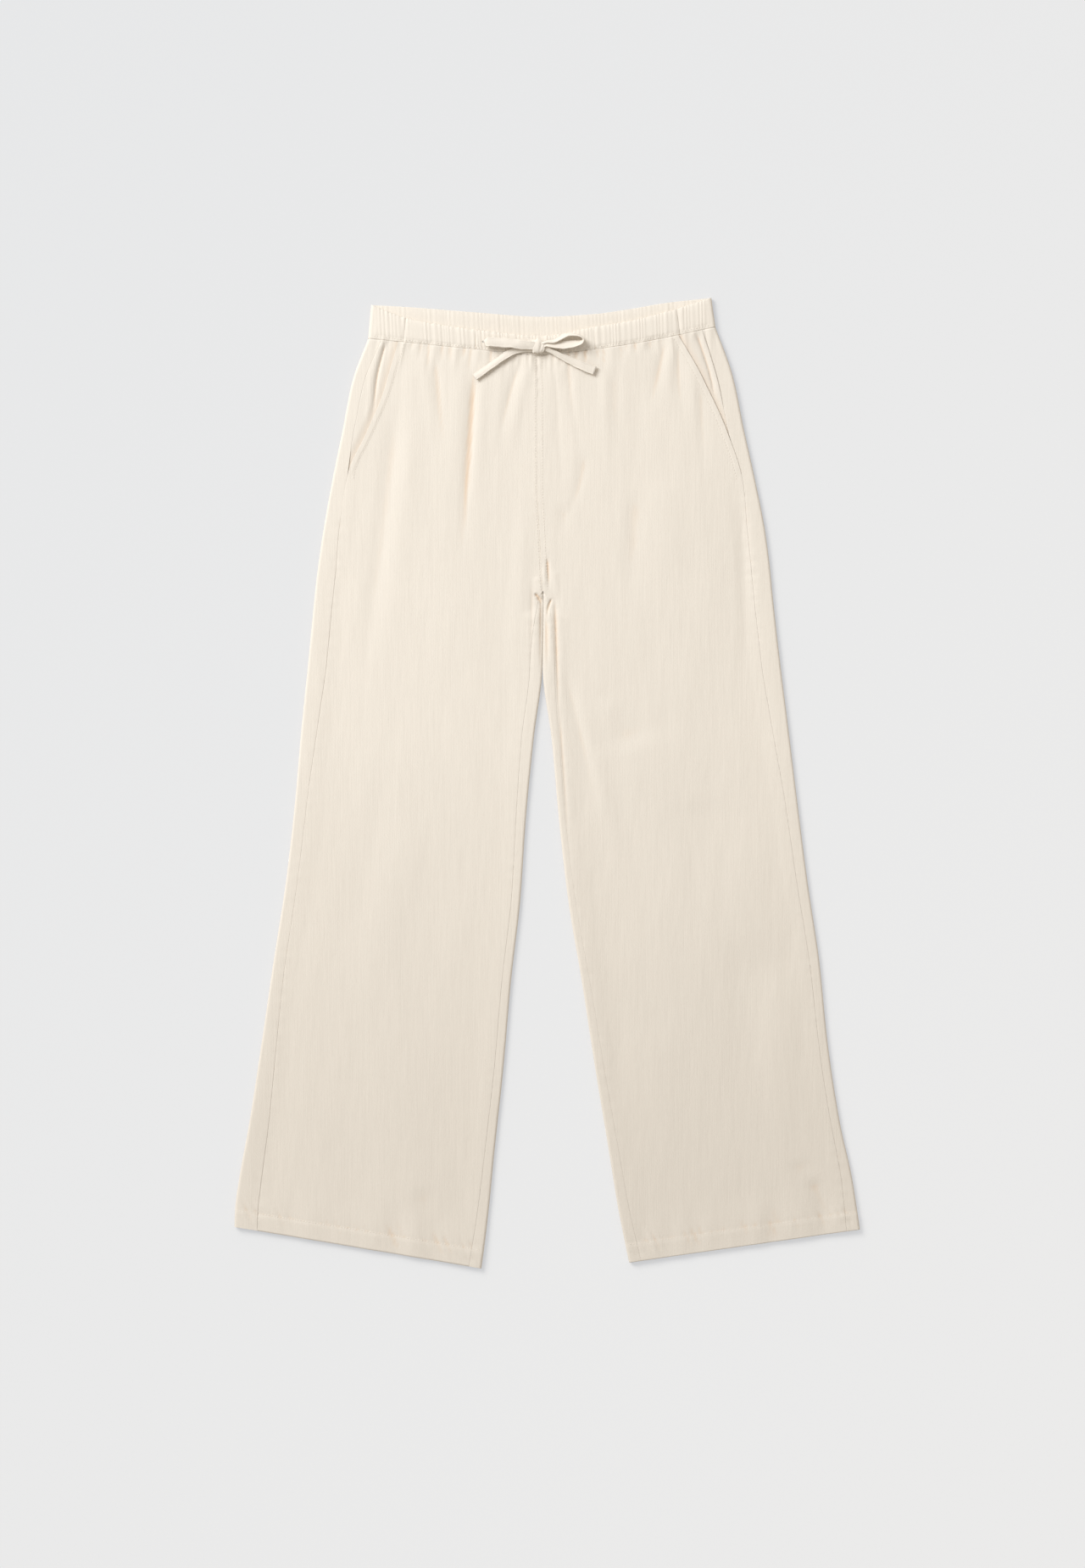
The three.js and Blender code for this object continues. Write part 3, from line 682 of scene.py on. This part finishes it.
def floor_material():
    """Pale paper, toned so that it looks evenly lit: paler where the key lamp reaches it less.

    Part of what the camera sees is the plain tone itself, which leaves the shadow soft.
    """
    material, tree, shader, place = new_material("paper")
    apart = tree.nodes.new("ShaderNodeVectorMath")
    apart.operation = "DISTANCE"
    tree.links.new(place, apart.inputs[0])
    apart.inputs[1].default_value = KEY_PLACE
    far = math_node(tree, "DIVIDE", apart.outputs["Value"], float(np.linalg.norm(KEY_PLACE)))
    key = math_node(tree, "MULTIPLY", math_node(tree, "POWER", far, -3.0), KEY_SHARE)
    light = math_node(tree, "ADD", key, ROOM_SHARE)
    tone = math_node(tree, "DIVIDE", PAPER, light)
    grain = scaled(tree, noise(tree, place, 300.0), 0.3, 0.7, 0.995, 1.005)
    tone = math_node(tree, "MULTIPLY", tone, grain)
    colour = tree.nodes.new("ShaderNodeVectorMath")
    colour.operation = "SCALE"
    colour.inputs[0].default_value = [(2 * PAPER - part) / PAPER for part in PAPER_GLOW]
    tree.links.new(tone, colour.inputs["Scale"])
    tree.links.new(colour.outputs[0], shader.inputs["Base Color"])
    shader.inputs["Roughness"].default_value = 0.9
    shader.inputs["Specular IOR Level"].default_value = 0.1
    glow = node(tree, "ShaderNodeEmission", Color=(*PAPER_GLOW, 1), Strength=1.0)
    blend = node(tree, "ShaderNodeMixShader")
    rays = node(tree, "ShaderNodeLightPath").outputs["Is Camera Ray"]
    tree.links.new(math_node(tree, "MULTIPLY", rays, FLOOR_EVENNESS), blend.inputs[0])
    tree.links.new(shader.outputs[0], blend.inputs[1])
    tree.links.new(glow.outputs[0], blend.inputs[2])
    tree.links.new(blend.outputs[0], tree.nodes["Material Output"].inputs["Surface"])
    return material


ECRU = (0.775, 0.705, 0.61)
# painted warm shade of creases and folds
SHADED = (0.74, 0.545, 0.38)
THREAD = (0.80, 0.74, 0.65)
PAINTED_FALLOFF_SHADE = (0.935, 0.93, 0.925)  # painted shade: the light's falloff towards the hems, painted as colour that darkens down the legs
PAPER = 0.83
FLOOR_SIZE, FLOOR_DROP = 12, 0.0004
FLOOR_EVENNESS = 0.5
KEY_PLACE = (-2.6, 2.35, 2.8)
KEY_POWER = 190
KEY_SIZE = 2.2
KEY_SHARE, ROOM_SHARE = 0.58, 0.58  # what the key lamp and the room add on a level sheet
ROOM_STRENGTH = 0.585
KEY_COLOUR, ROOM_COLOUR = (0.965, 1.005, 1.06), (1.035, 0.995, 0.94)
PAPER_GLOW = (0.77, 0.83, 0.915)  # the plain part of the floor, which its shaded part makes up to PAPER


# --- camera, light and floor ---


def make_camera():
    data = bpy.data.cameras.new("camera")
    data.sensor_width = SENSOR
    tall = PICTURE[1] * MM_PER_PIXEL
    data.lens = data.sensor_width * CAMERA_HEIGHT / tall
    data.clip_end = CAMERA_REACH
    camera = bpy.data.objects.new("camera", data)
    camera.location = (CAMERA_PLACE[0] * MM, CAMERA_PLACE[1] * MM, CAMERA_HEIGHT * MM)
    bpy.context.scene.collection.objects.link(camera)
    bpy.context.scene.camera = camera


def make_stage():
    data = bpy.data.lights.new("key", "AREA")
    data.size, data.energy, data.color = KEY_SIZE, KEY_POWER, KEY_COLOUR
    lamp = bpy.data.objects.new("key", data)
    lamp.location = KEY_PLACE
    lamp.rotation_mode = "QUATERNION"
    lamp.rotation_quaternion = (-Vector(KEY_PLACE)).to_track_quat("-Z", "Y")
    bpy.context.scene.collection.objects.link(lamp)
    world = bpy.data.worlds.new("room")
    bpy.context.scene.world = world
    world.use_nodes = True
    world.node_tree.nodes["Background"].inputs["Color"].default_value = (*ROOM_COLOUR, 1)
    world.node_tree.nodes["Background"].inputs["Strength"].default_value = ROOM_STRENGTH
    bpy.ops.mesh.primitive_plane_add(size=FLOOR_SIZE, location=(0, 0, -FLOOR_DROP))
    floor = bpy.context.object
    floor.name = "floor"
    floor.data.materials.append(floor_material())
    bpy.context.scene.view_settings.view_transform = "Standard"


# --- pieces ---


def finish_cloth(piece, node_name):
    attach(piece, "root")
    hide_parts(node_name)


def finish_panel(piece, node_name):
    """Attaches a leg's panel to the root and hides its CAD part."""
    finish_cloth(piece, node_name)


def finish_band(piece, node_name):
    finish_cloth(piece, node_name)


def front_piece(node_name, leg, material):
    down = leg.places(FRONT_STEP)[:, None]
    section = leg.at(down)
    start = section["outer_x"] - leg.side * (section["mouth"] + SEAM_GAP / 2)
    end = section["inner_x"] + leg.side * (section["inseam"] + SEAM_GAP / 2)
    x = mix(start, end, dense_edges(FRONT_COLUMNS)[None, :])
    z = top_height(leg, section, x, True)
    y = line_y(leg, section, x)
    outer, inner = layers(x, y, z, z - wall_at(leg, down))
    # painted shade of the creases and of the crotch's folds
    painted_shade = painted_crease_shade(z) + painted_crotch_shade(x, y)
    piece = shell(f"{node_name}_cloth", outer, inner, material, painted_shade=painted_shade)
    finish_panel(piece, node_name)


def back_piece(node_name, leg, material):
    """The lower layer, wrapped round the side folds to the outseam and, below the crotch, the inseam."""
    down = leg.places(BACK_STEP)[:, None]
    section = leg.at(down)
    side, outer_x, inner_x = leg.side, section["outer_x"], section["inner_x"]
    radius = section["roll"] / 2
    wall = wall_at(leg, down)
    parted = down >= leg.down[PARTING] - 1e-6
    outer_centre = outer_x - side * radius
    inner_centre = inner_x + side * radius
    ends = (
        outer_x - side * (section["outseam"] - SEAM_GAP / 2),
        inner_x + side * (np.maximum(section["inseam"], radius + 0.6) - SEAM_GAP / 2),
    )

    def upper(x):
        z = top_height(leg, section, x, False)
        past_inseam = smooth((np.abs(x - inner_x) - section["inseam"]) / 0.3)
        z = z - (CLOTH + LAYER_GAP) * past_inseam * (np.abs(x - outer_x) > TUCK_FROM)
        return layers(x, line_y(leg, section, x), z, z - wall)

    def turn(centre, away, edge_height):
        """Half round from the top to the bottom; edge_height is the upper end's real height."""
        angle = np.linspace(0, math.pi, TURN_COLUMNS)[None, 1:-1]
        half = edge_height / 2
        both = []
        for inset in (0, 1):
            reach = half - inset * wall
            x = centre + away * (radius - inset * wall) * np.sin(angle)
            both.append(np.stack((x, line_y(leg, section, x), half + reach * np.cos(angle)), -1))
        return both

    def lower():
        seat = np.where(parted, inner_centre, CENTRE_BACK + side * SEAM_GAP / 2)
        x = mix(outer_centre, seat, dense_edges(BACK_COLUMNS, 1.4)[None, :])
        y = back_line_y(leg, section, x)
        inside = smooth(np.abs(x - outer_x) / 25 - 0.4) * smooth(np.abs(x - seat) / 25 - 0.4)
        swell = 0.45 * np.clip(ripple(x, y, leg.seed + 9, 60, 3) - 0.1, 0, 2)
        crease = np.clip(-0.4 * folds(FOLDS, -x, y), 0, 1)  # like the front's, seen in a mirror
        waist = back_line_y(leg, leg.at(np.zeros_like(down)), x)
        pucker = np.clip(0.3 + 0.5 * gathers(-x, y, waist), 0, 1) * smooth(1 - (waist - y) / 50)
        above = leg.down[HEM_STITCH] - down
        stitch = 0.25 * bell((above - HEM_STITCH_UP) / 1.3)
        lift = inside * np.minimum(swell + crease + pucker + stitch, UNDER_LIFT)
        return layers(x, y, lift, lift + wall)

    fraction = np.linspace(0, 1, WRAP_COLUMNS)[None, :]
    outer_top = upper(mix(ends[0], outer_centre, fraction))
    inner_top = upper(mix(inner_centre, ends[1], fraction))
    outer_turn = turn(outer_centre, side, outer_top[0][:, -1:, 2])
    inner_turn = [points[:, ::-1] for points in turn(inner_centre, -side, inner_top[0][:, :1, 2])]
    base = lower()
    outer, inner = side_by_side(outer_top, outer_turn, base, inner_turn, inner_top)
    seat_column = outer_top[0].shape[1] + outer_turn[0].shape[1] + base[0].shape[1] - 1
    cells = np.ones((outer.shape[0] - 1, outer.shape[1] - 1), bool)
    parting_row = int(np.abs(down[:, 0] - leg.down[PARTING]).argmin())
    cells[:parting_row, seat_column:] = False
    # painted shade of the creases on the outer wrap and of the crotch's folds on the inner wrap
    painted_shade = np.zeros(outer.shape[:2])
    first, last = outer_top[0].shape[1], inner_top[0].shape[1]
    painted_shade[:, :first] = painted_crease_shade(outer_top[0][..., 2])
    painted_shade[:, -last:] = painted_crotch_shade(inner_top[0][..., 0], inner_top[0][..., 1])
    piece = shell(f"{node_name}_cloth", outer, inner, material, cells, painted_shade)
    finish_panel(piece, node_name)


def facing_piece(node_name, leg, material, crease_at):
    """Pocket facing: beside the side seam it is level with the back, then dips under the mouth."""
    down = leg.places(FACING_STEP, POCKET_END)[:, None]
    section = leg.at(down)
    start = section["outseam"] + SEAM_GAP
    across = mix(start, section["mouth"] + FACING_UNDER, np.linspace(0, 1, FACING_COLUMNS)[None, :])
    x = section["outer_x"] - leg.side * across
    y = line_y(leg, section, x)
    inside = smooth((across - section["mouth"] + FACING_SLOPE) / FACING_SLOPE)
    z = top_height(leg, section, x, False) - FACING_DROP * inside
    fold = across - mix(crease_at[0], crease_at[1], down / leg.down[POCKET_END])
    fade = smooth(1.4 - down / 110) * smooth(down / 12) * (1 - inside)
    z = z - FACING_CREASE * bell(np.abs(fold / 1.9), 1.3) * fade
    z = z + FACING_RIDGE * bell((fold + 6) / 4) * fade
    below_front = top_height(leg, section, x, True) - CLOTH - LAYER_GAP
    z = np.where(across > section["mouth"] - 0.5, np.minimum(z, below_front), z)
    outer, inner = layers(x, y, z, z - FACING_WALL)
    # painted shade of the creases, plus painted shade of 0.3 where the facing dips under the front's mouth
    # edge
    painted_shade = np.clip(painted_crease_shade(z) + 0.3 * inside, 0, 1)
    piece = shell(f"{node_name}_cloth", outer, inner, material, painted_shade=painted_shade)
    finish_panel(piece, node_name)


def band_gather(x, down, seed):
    """Ridges of the gathered casing, about 5 mm apart and uneven, that lean a little."""
    lean = 0.02 * (x - 20) / 10
    along = x + lean * (down - 0.5) * 12
    warped = along + 1.6 * uneven(along, seed, 23)
    strong = 0.95 + 0.4 * uneven(along, seed + 1, 17)
    fine = np.sin(2 * math.pi * warped / 4.7 + 1.1 * np.sin(warped / 9))
    wide = 0.55 * uneven(along, seed + 2, 13)
    across = 0.62 + 0.38 * np.abs(2 * down - 1) ** 1.5
    flat_patch = 1 - 0.85 * bell((x + 147) / 9, 4)  # beside the right side seam
    return (strong * fine * across + wide) * flat_patch


def waist_seam(layer, x):
    """y of the waist seam of a layer, front or back."""
    centre = RIGHT.rows[0, 2] if layer == "front" else CENTRE_BACK
    follow = line_y if layer == "front" else back_line_y
    right, left = (follow(leg, leg.at(np.zeros_like(x)), x) for _, leg in LEGS)
    return SEAM_GAP + np.where(x < centre, right, left)


def band_place(layer, x, down):
    """x and y of the casing: down is 0 at its upper edge and 1 at its waist seam."""
    t = (x - BAND_X[0]) / (BAND_X[-1] - BAND_X[0])
    lower = mix(RIGHT.rows[0, 0], LEFT.rows[0, 0], t)
    upper = BAND_FRONT if layer == "front" else BAND_BACK
    edge = curve(BAND_X, upper, np.clip(x, BAND_X[0], BAND_X[-1]))
    return mix(x, lower, down), mix(edge, waist_seam(layer, lower), down)


def casing(x, down):
    """Outer surface of the casing where it lies uppermost: swollen by the elastic inside."""
    swell = BAND_SWELL * (1 - np.abs(2 * down - 1) ** 3) - 0.5 * np.abs(2 * down - 1) ** 6
    place_x, place_y = band_place("front", x, down)
    relief = band_gather(x, down, BAND_SEED)
    edge = np.abs(2 * down - 1) ** 4
    place_y = place_y + 0.25 * relief * edge * (down < 0.5)
    stitch = -0.35 * bell((down - 0.88) / 0.05)
    height = BAND_HEIGHT + swell + BAND_RELIEF * relief + stitch
    seam_x = band_place("front", x, np.ones_like(down))[0]
    right, left = (top_height(leg, leg.at(np.zeros_like(x)), seam_x, False) for _, leg in LEGS)
    below = np.where(seam_x < RIGHT.rows[0, 2], right, left)
    joined = mix(height, below, smooth((down - 0.8) / 0.2))
    return place_x, place_y, joined - 0.3 * bell((down - 1) / 0.05)


def waistband_front(material):
    across = np.linspace(0, 1, BAND_FRONT_COLUMNS)
    x = mix(BAND_SEAM_RIGHT + SEAM_GAP / 2, BAND_SEAM_LEFT - SEAM_GAP / 2, across)
    x, down = np.meshgrid(x, np.linspace(0, 1, BAND_ROWS))
    place_x, place_y, z = casing(x, down)
    from_seam = np.minimum(x - BAND_SEAM_RIGHT, BAND_SEAM_LEFT - x)
    z = z - BAND_SEAM_DEPTH * bell(from_seam / 1.6)
    for dart in BAND_DARTS:
        z = z - BAND_SEAM_DEPTH * bell((x - dart) / 1.2)
    outer, inner = layers(place_x, place_y, z, np.full_like(z, BAND_HEIGHT - BAND_WALL))
    # painted shade of the casing's creases
    piece = shell("waistband_front_cloth", outer, inner, material, painted_shade=painted_crease_shade(z))
    finish_band(piece, "waistband_front")


def waistband_back(material):
    """The back casing: underneath, inside up, and round both side folds to its seams on top."""
    rows = np.linspace(0, 1, BAND_ROWS)
    radius = BAND_HEIGHT / 2
    right_end, left_end = BAND_X[0] + radius, BAND_X[-1] - radius

    def top(start, end, seam, fold_x):
        x, down = np.meshgrid(np.linspace(start, end, BAND_WRAP_COLUMNS), rows)
        place_x, place_y, z = casing(x, down)
        z = z - BAND_SEAM_DEPTH * bell((x - seam) / 1.6)
        z = mix(BAND_HEIGHT, z, smooth((np.abs(x - fold_x) - radius) / 8))
        return layers(place_x, place_y, z, np.full_like(z, BAND_HEIGHT - BAND_WALL))

    def turn(centre, away):
        angle, down = np.meshgrid(np.linspace(0, math.pi, TURN_COLUMNS)[1:-1], rows)
        both = []
        for inset in (0, BAND_WALL):
            x = centre + away * (radius - inset) * np.sin(angle)
            height = radius + (radius - inset) * np.cos(angle)
            both.append(np.stack((*band_place("front", x, down), height), -1))
        return both

    def lower():
        x, down = np.meshgrid(np.linspace(right_end, left_end, BAND_BACK_COLUMNS), rows)
        place_x, place_y = band_place("back", x, down)
        relief = band_gather(x, down, BAND_BACK_SEED)
        calm = smooth(np.minimum(x - right_end, left_end - x) / 10)
        inside = BAND_WALL + BAND_INSIDE_RELIEF * relief * calm - 0.5 * bell(down / 0.12)
        under = calm * np.clip(0.35 + BAND_UNDER_RELIEF * relief, 0, UNDER_LIFT)
        return layers(place_x, place_y, under, inside)

    right_top = top(BAND_SEAM_RIGHT - SEAM_GAP / 2, right_end, BAND_SEAM_RIGHT, BAND_X[0])
    left_top = top(left_end, BAND_SEAM_LEFT + SEAM_GAP / 2, BAND_SEAM_LEFT, BAND_X[-1])
    left_turn = [points[:, ::-1] for points in turn(left_end, 1)]
    outer, inner = side_by_side(right_top, turn(right_end, -1), lower(), left_turn, left_top)
    piece = shell("waistband_back_cloth", outer, inner, material)
    finish_band(piece, "waistband_back")


# --- drawstring ---


def smooth_route(points, per_step=7):
    """A curve through the points, each with its place, roll and breadth."""
    points = np.array(points, float)
    padded = np.vstack((2 * points[0] - points[1], points, 2 * points[-1] - points[-2]))
    route = []
    for k in range(1, len(padded) - 2):
        p0, p1, p2, p3 = padded[k - 1 : k + 3]
        for t in np.linspace(0, 1, per_step, endpoint=False):
            route.append(
                0.5 * (2 * p1 + (p2 - p0) * t + (2 * p0 - 5 * p1 + 4 * p2 - p3) * t**2
                       + (3 * p1 - p0 - 3 * p2 + p3) * t**3)
            )
    route.append(padded[-2])
    return np.array(route)


def tape_piece(name, points, material, nodes):
    """One half of the drawstring: a flat tape that turns about its own line as it goes."""
    route = smooth_route(points)
    place, roll, breadth = route[:, :3], np.radians(route[:, 3]), route[:, 4]
    tangent = np.gradient(place, axis=0)
    tangent /= np.linalg.norm(tangent, axis=1)[:, None]
    flat = tangent.copy()
    flat[:, 2] = 0
    flat /= np.maximum(np.linalg.norm(flat, axis=1), 1e-6)[:, None]
    side = np.stack((-flat[:, 1], flat[:, 0], np.zeros(len(flat))), -1)
    for k in range(1, len(side)):
        if side[k] @ side[k - 1] < 0:
            side[k] = -side[k]
    up = np.cross(tangent, side)
    width = np.cos(roll)[:, None] * side + np.sin(roll)[:, None] * up
    thick = -np.sin(roll)[:, None] * side + np.cos(roll)[:, None] * up
    angle = np.linspace(0, 2 * math.pi, 40, endpoint=False)
    across = rounded(np.cos(angle), 0.45) * TAPE_WIDTH / 2
    rise = rounded(np.sin(angle), 0.45) * TAPE_THICK / 2
    along = np.arange(len(place))[:, None]
    edge = breadth[:, None] * (1 + 0.04 * uneven(along, 91, 9))
    curl = 0.4 * (across[None, :] / (TAPE_WIDTH / 2)) ** 2 * (0.6 + 0.6 * uneven(along, 92, 16))
    seam = -0.2 * bell((np.abs(across) - 3.3) / 0.45) * np.sign(rise)
    plump = 1 + 1.6 * (1 - np.minimum(breadth, 1))[:, None]
    rings = (
        place[:, None, :]
        + width[:, None, :] * (across[None, :] * edge)[..., None]
        + thick[:, None, :] * ((rise + seam)[None, :] * plump + curl)[..., None]
    )
    count, last = len(angle), (len(place) - 1) * len(angle)
    faces = ring_faces(len(place), count)
    faces += [tuple(range(count))[::-1], tuple(range(last, last + count))]
    piece = new_object(name, rings.reshape(-1, 3) * MM, faces, material)
    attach(piece, "root")
    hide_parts(*nodes)


def knot_piece(material):
    """The bow's knot: a fat wrap of tape round the middle with the folds pulled into it."""
    rows, columns = 40, 56
    centre, size = np.array(KNOT["centre"]), np.array(KNOT["size"]) / 2
    polar = np.linspace(0, math.pi, rows)[:, None]
    turn = np.linspace(0, 2 * math.pi, columns, endpoint=False)[None, :]

    x = rounded(np.cos(polar), 0.62) + 0 * turn
    y = rounded(np.sin(polar), 0.7) * rounded(np.cos(turn), 0.75)
    z = rounded(np.sin(polar), 0.7) * rounded(np.sin(turn), 0.75)
    wrap = 0.16 * bell((x + 0.1) / 0.42, 6) - 0.1 * bell((np.abs(x + 0.1) - 0.52) / 0.12)
    lines = 0.05 * np.sin(7 * x + 3 * y + 1.3) + 0.04 * np.sin(11 * x - 5 * z)
    scale = 0.9 + wrap + lines
    lean = math.radians(KNOT["turn"])
    along, over = x * size[0], y * scale * size[1]
    points = np.stack(
        (
            along * math.cos(lean) - over * math.sin(lean),
            along * math.sin(lean) + over * math.cos(lean),
            z * scale * size[2],
        ),
        -1,
    ) + centre
    points[..., 2] = np.maximum(points[..., 2], BAND_HEIGHT + 0.5)
    faces = ring_faces(rows, columns)
    piece = new_object("drawstring_knot_cloth", points.reshape(-1, 3) * MM, faces, material)
    work = bmesh.new()
    work.from_mesh(piece.data)
    bmesh.ops.remove_doubles(work, verts=work.verts, dist=1e-7)
    bmesh.ops.recalc_face_normals(work, faces=work.faces)
    work.to_mesh(piece.data)
    work.free()
    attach(piece, "root")
    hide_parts("drawstring_knot")


# --- stitches ---


STITCH_LONG, STITCH_WIDE, STITCH_HIGH, STITCH_PITCH = 2.5, 0.55, 0.45, 3.3
STITCH_SINK = 0.1  # how far a stitch's ends dip into the cloth
LINE_STEP = 1.2  # between the points of a line of stitches


def stitches(line):
    """Small raised stitches along a line of points in millimetres: their points and faces."""
    step = np.linalg.norm(np.diff(line, axis=0), axis=1)
    run = np.concatenate(((0,), np.cumsum(step)))
    middles = np.arange(STITCH_PITCH / 2, run[-1], STITCH_PITCH)
    points, faces = [], []
    for middle in middles:
        ends = [
            np.array([np.interp(at, run, line[:, k]) for k in range(3)])
            for at in (middle - STITCH_LONG / 2, middle + STITCH_LONG / 2)
        ]
        ahead = ends[1] - ends[0]
        ahead /= np.linalg.norm(ahead)
        side = np.cross((0, 0, 1), ahead)
        side /= np.linalg.norm(side)
        up = np.cross(ahead, side)
        base = len(points)
        points.append(ends[0] - STITCH_SINK * up)
        for t in (0.25, 0.75):
            here = mix(ends[0], ends[1], t)
            for angle in (45, 135, 225, 315):
                across = math.cos(math.radians(angle)) * STITCH_WIDE * 0.7
                rise = math.sin(math.radians(angle)) * STITCH_HIGH * 0.7
                points.append(here + side * across + up * rise)
        points.append(ends[1] - STITCH_SINK * up)
        for k in range(4):
            m = (k + 1) % 4
            faces.append((base, base + 1 + m, base + 1 + k))
            faces.append((base + 1 + k, base + 1 + m, base + 5 + m, base + 5 + k))
            faces.append((base + 9, base + 5 + k, base + 5 + m))
    return points, faces


def join_stitches(name, lines, material):
    points, faces = [], []
    for line in lines:
        more, shapes = stitches(line)
        faces += [tuple(index + len(points) for index in shape) for shape in shapes]
        points += more
    piece = new_object(name, np.array(points) * MM, faces, material)
    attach(piece, "root")


def on_front(leg, down, x):
    section = leg.at(down)
    z = top_height(leg, section, x, True)
    return np.stack((x, line_y(leg, section, x), z + 0.05), -1)


def leg_stitches(name, leg, material):
    """Topstitching of a front: pocket mouth, hem and one line beside the centre seam."""
    down = np.arange(2, leg.down[POCKET_END] + 4, LINE_STEP)
    section = leg.at(down)
    mouth = section["outer_x"] - leg.side * (section["mouth"] + STITCH_INSET)
    lines = [on_front(leg, down, mouth)]
    hem = leg.down[HEM_STITCH] - HEM_STITCH_UP
    edge = leg.at(np.array([hem]))
    ends = (edge["outer_x"][0] - leg.side * 4, edge["inner_x"][0] + leg.side * 4)
    x = np.arange(min(ends), max(ends), LINE_STEP)
    lines.append(on_front(leg, np.full_like(x, hem), x))
    down = np.arange(3, leg.down[CROTCH] - 8, LINE_STEP)
    from_centre = CENTRE_STITCHES[0 if leg.side < 0 else 1]
    lines.append(on_front(leg, down, leg.at(down)["inner_x"] + leg.side * from_centre))
    join_stitches(name, lines, material)


def band_stitches(material):
    lines = []
    for start, end in ((-192, BAND_SEAM_RIGHT - 1), (BAND_SEAM_RIGHT + 1, BAND_SEAM_LEFT - 1),
                       (BAND_SEAM_LEFT + 1, 179)):
        x = np.arange(start, end, 1.0)
        place_x, place_y, z = casing(x, np.full_like(x, 0.9))
        lines.append(np.stack((place_x, place_y, z + 0.08), -1))
    join_stitches("waistband_stitches", lines, material)


# --- the scene ---


make_camera()
make_stage()
denim = cloth_material("ecru_denim", ECRU, SHADED)
# painted shade: the facing, which lies inside the pocket, gets the same denim made 1.5% darker
facing_denim_painted_shade = cloth_material("ecru_denim_facing_painted_shade", tuple(c * 0.985 for c in ECRU), SHADED)
casing_denim = cloth_material("ecru_denim_casing", ECRU, SHADED, slub=0.8)
tape_denim = cloth_material("ecru_tape", tuple(min(1, c * 1.03) for c in ECRU), SHADED, 0.6, 0.7)
thread = thread_material()

knot_piece(tape_denim)
for side, route, exit_point in (("right", RIGHT_ROUTE, RIGHT_EXIT), ("left", LEFT_ROUTE, LEFT_EXIT)):
    nodes = (f"drawstring_loop_{side}", f"drawstring_tail_{side}")
    tape_piece(f"drawstring_{side}", route, tape_denim, nodes)
for side, leg in LEGS:
    front_piece(f"front_{side}", leg, denim)
for side, leg in LEGS:
    back_piece(f"back_{side}", leg, denim)
facing_piece("pocket_facing_right", RIGHT, facing_denim_painted_shade, (20.5, 41))
facing_piece("pocket_facing_left", LEFT, facing_denim_painted_shade, (22, 30))
waistband_front(casing_denim)
waistband_back(casing_denim)
for side, leg in LEGS:
    leg_stitches(f"front_{side}_stitches", leg, thread)
band_stitches(thread)
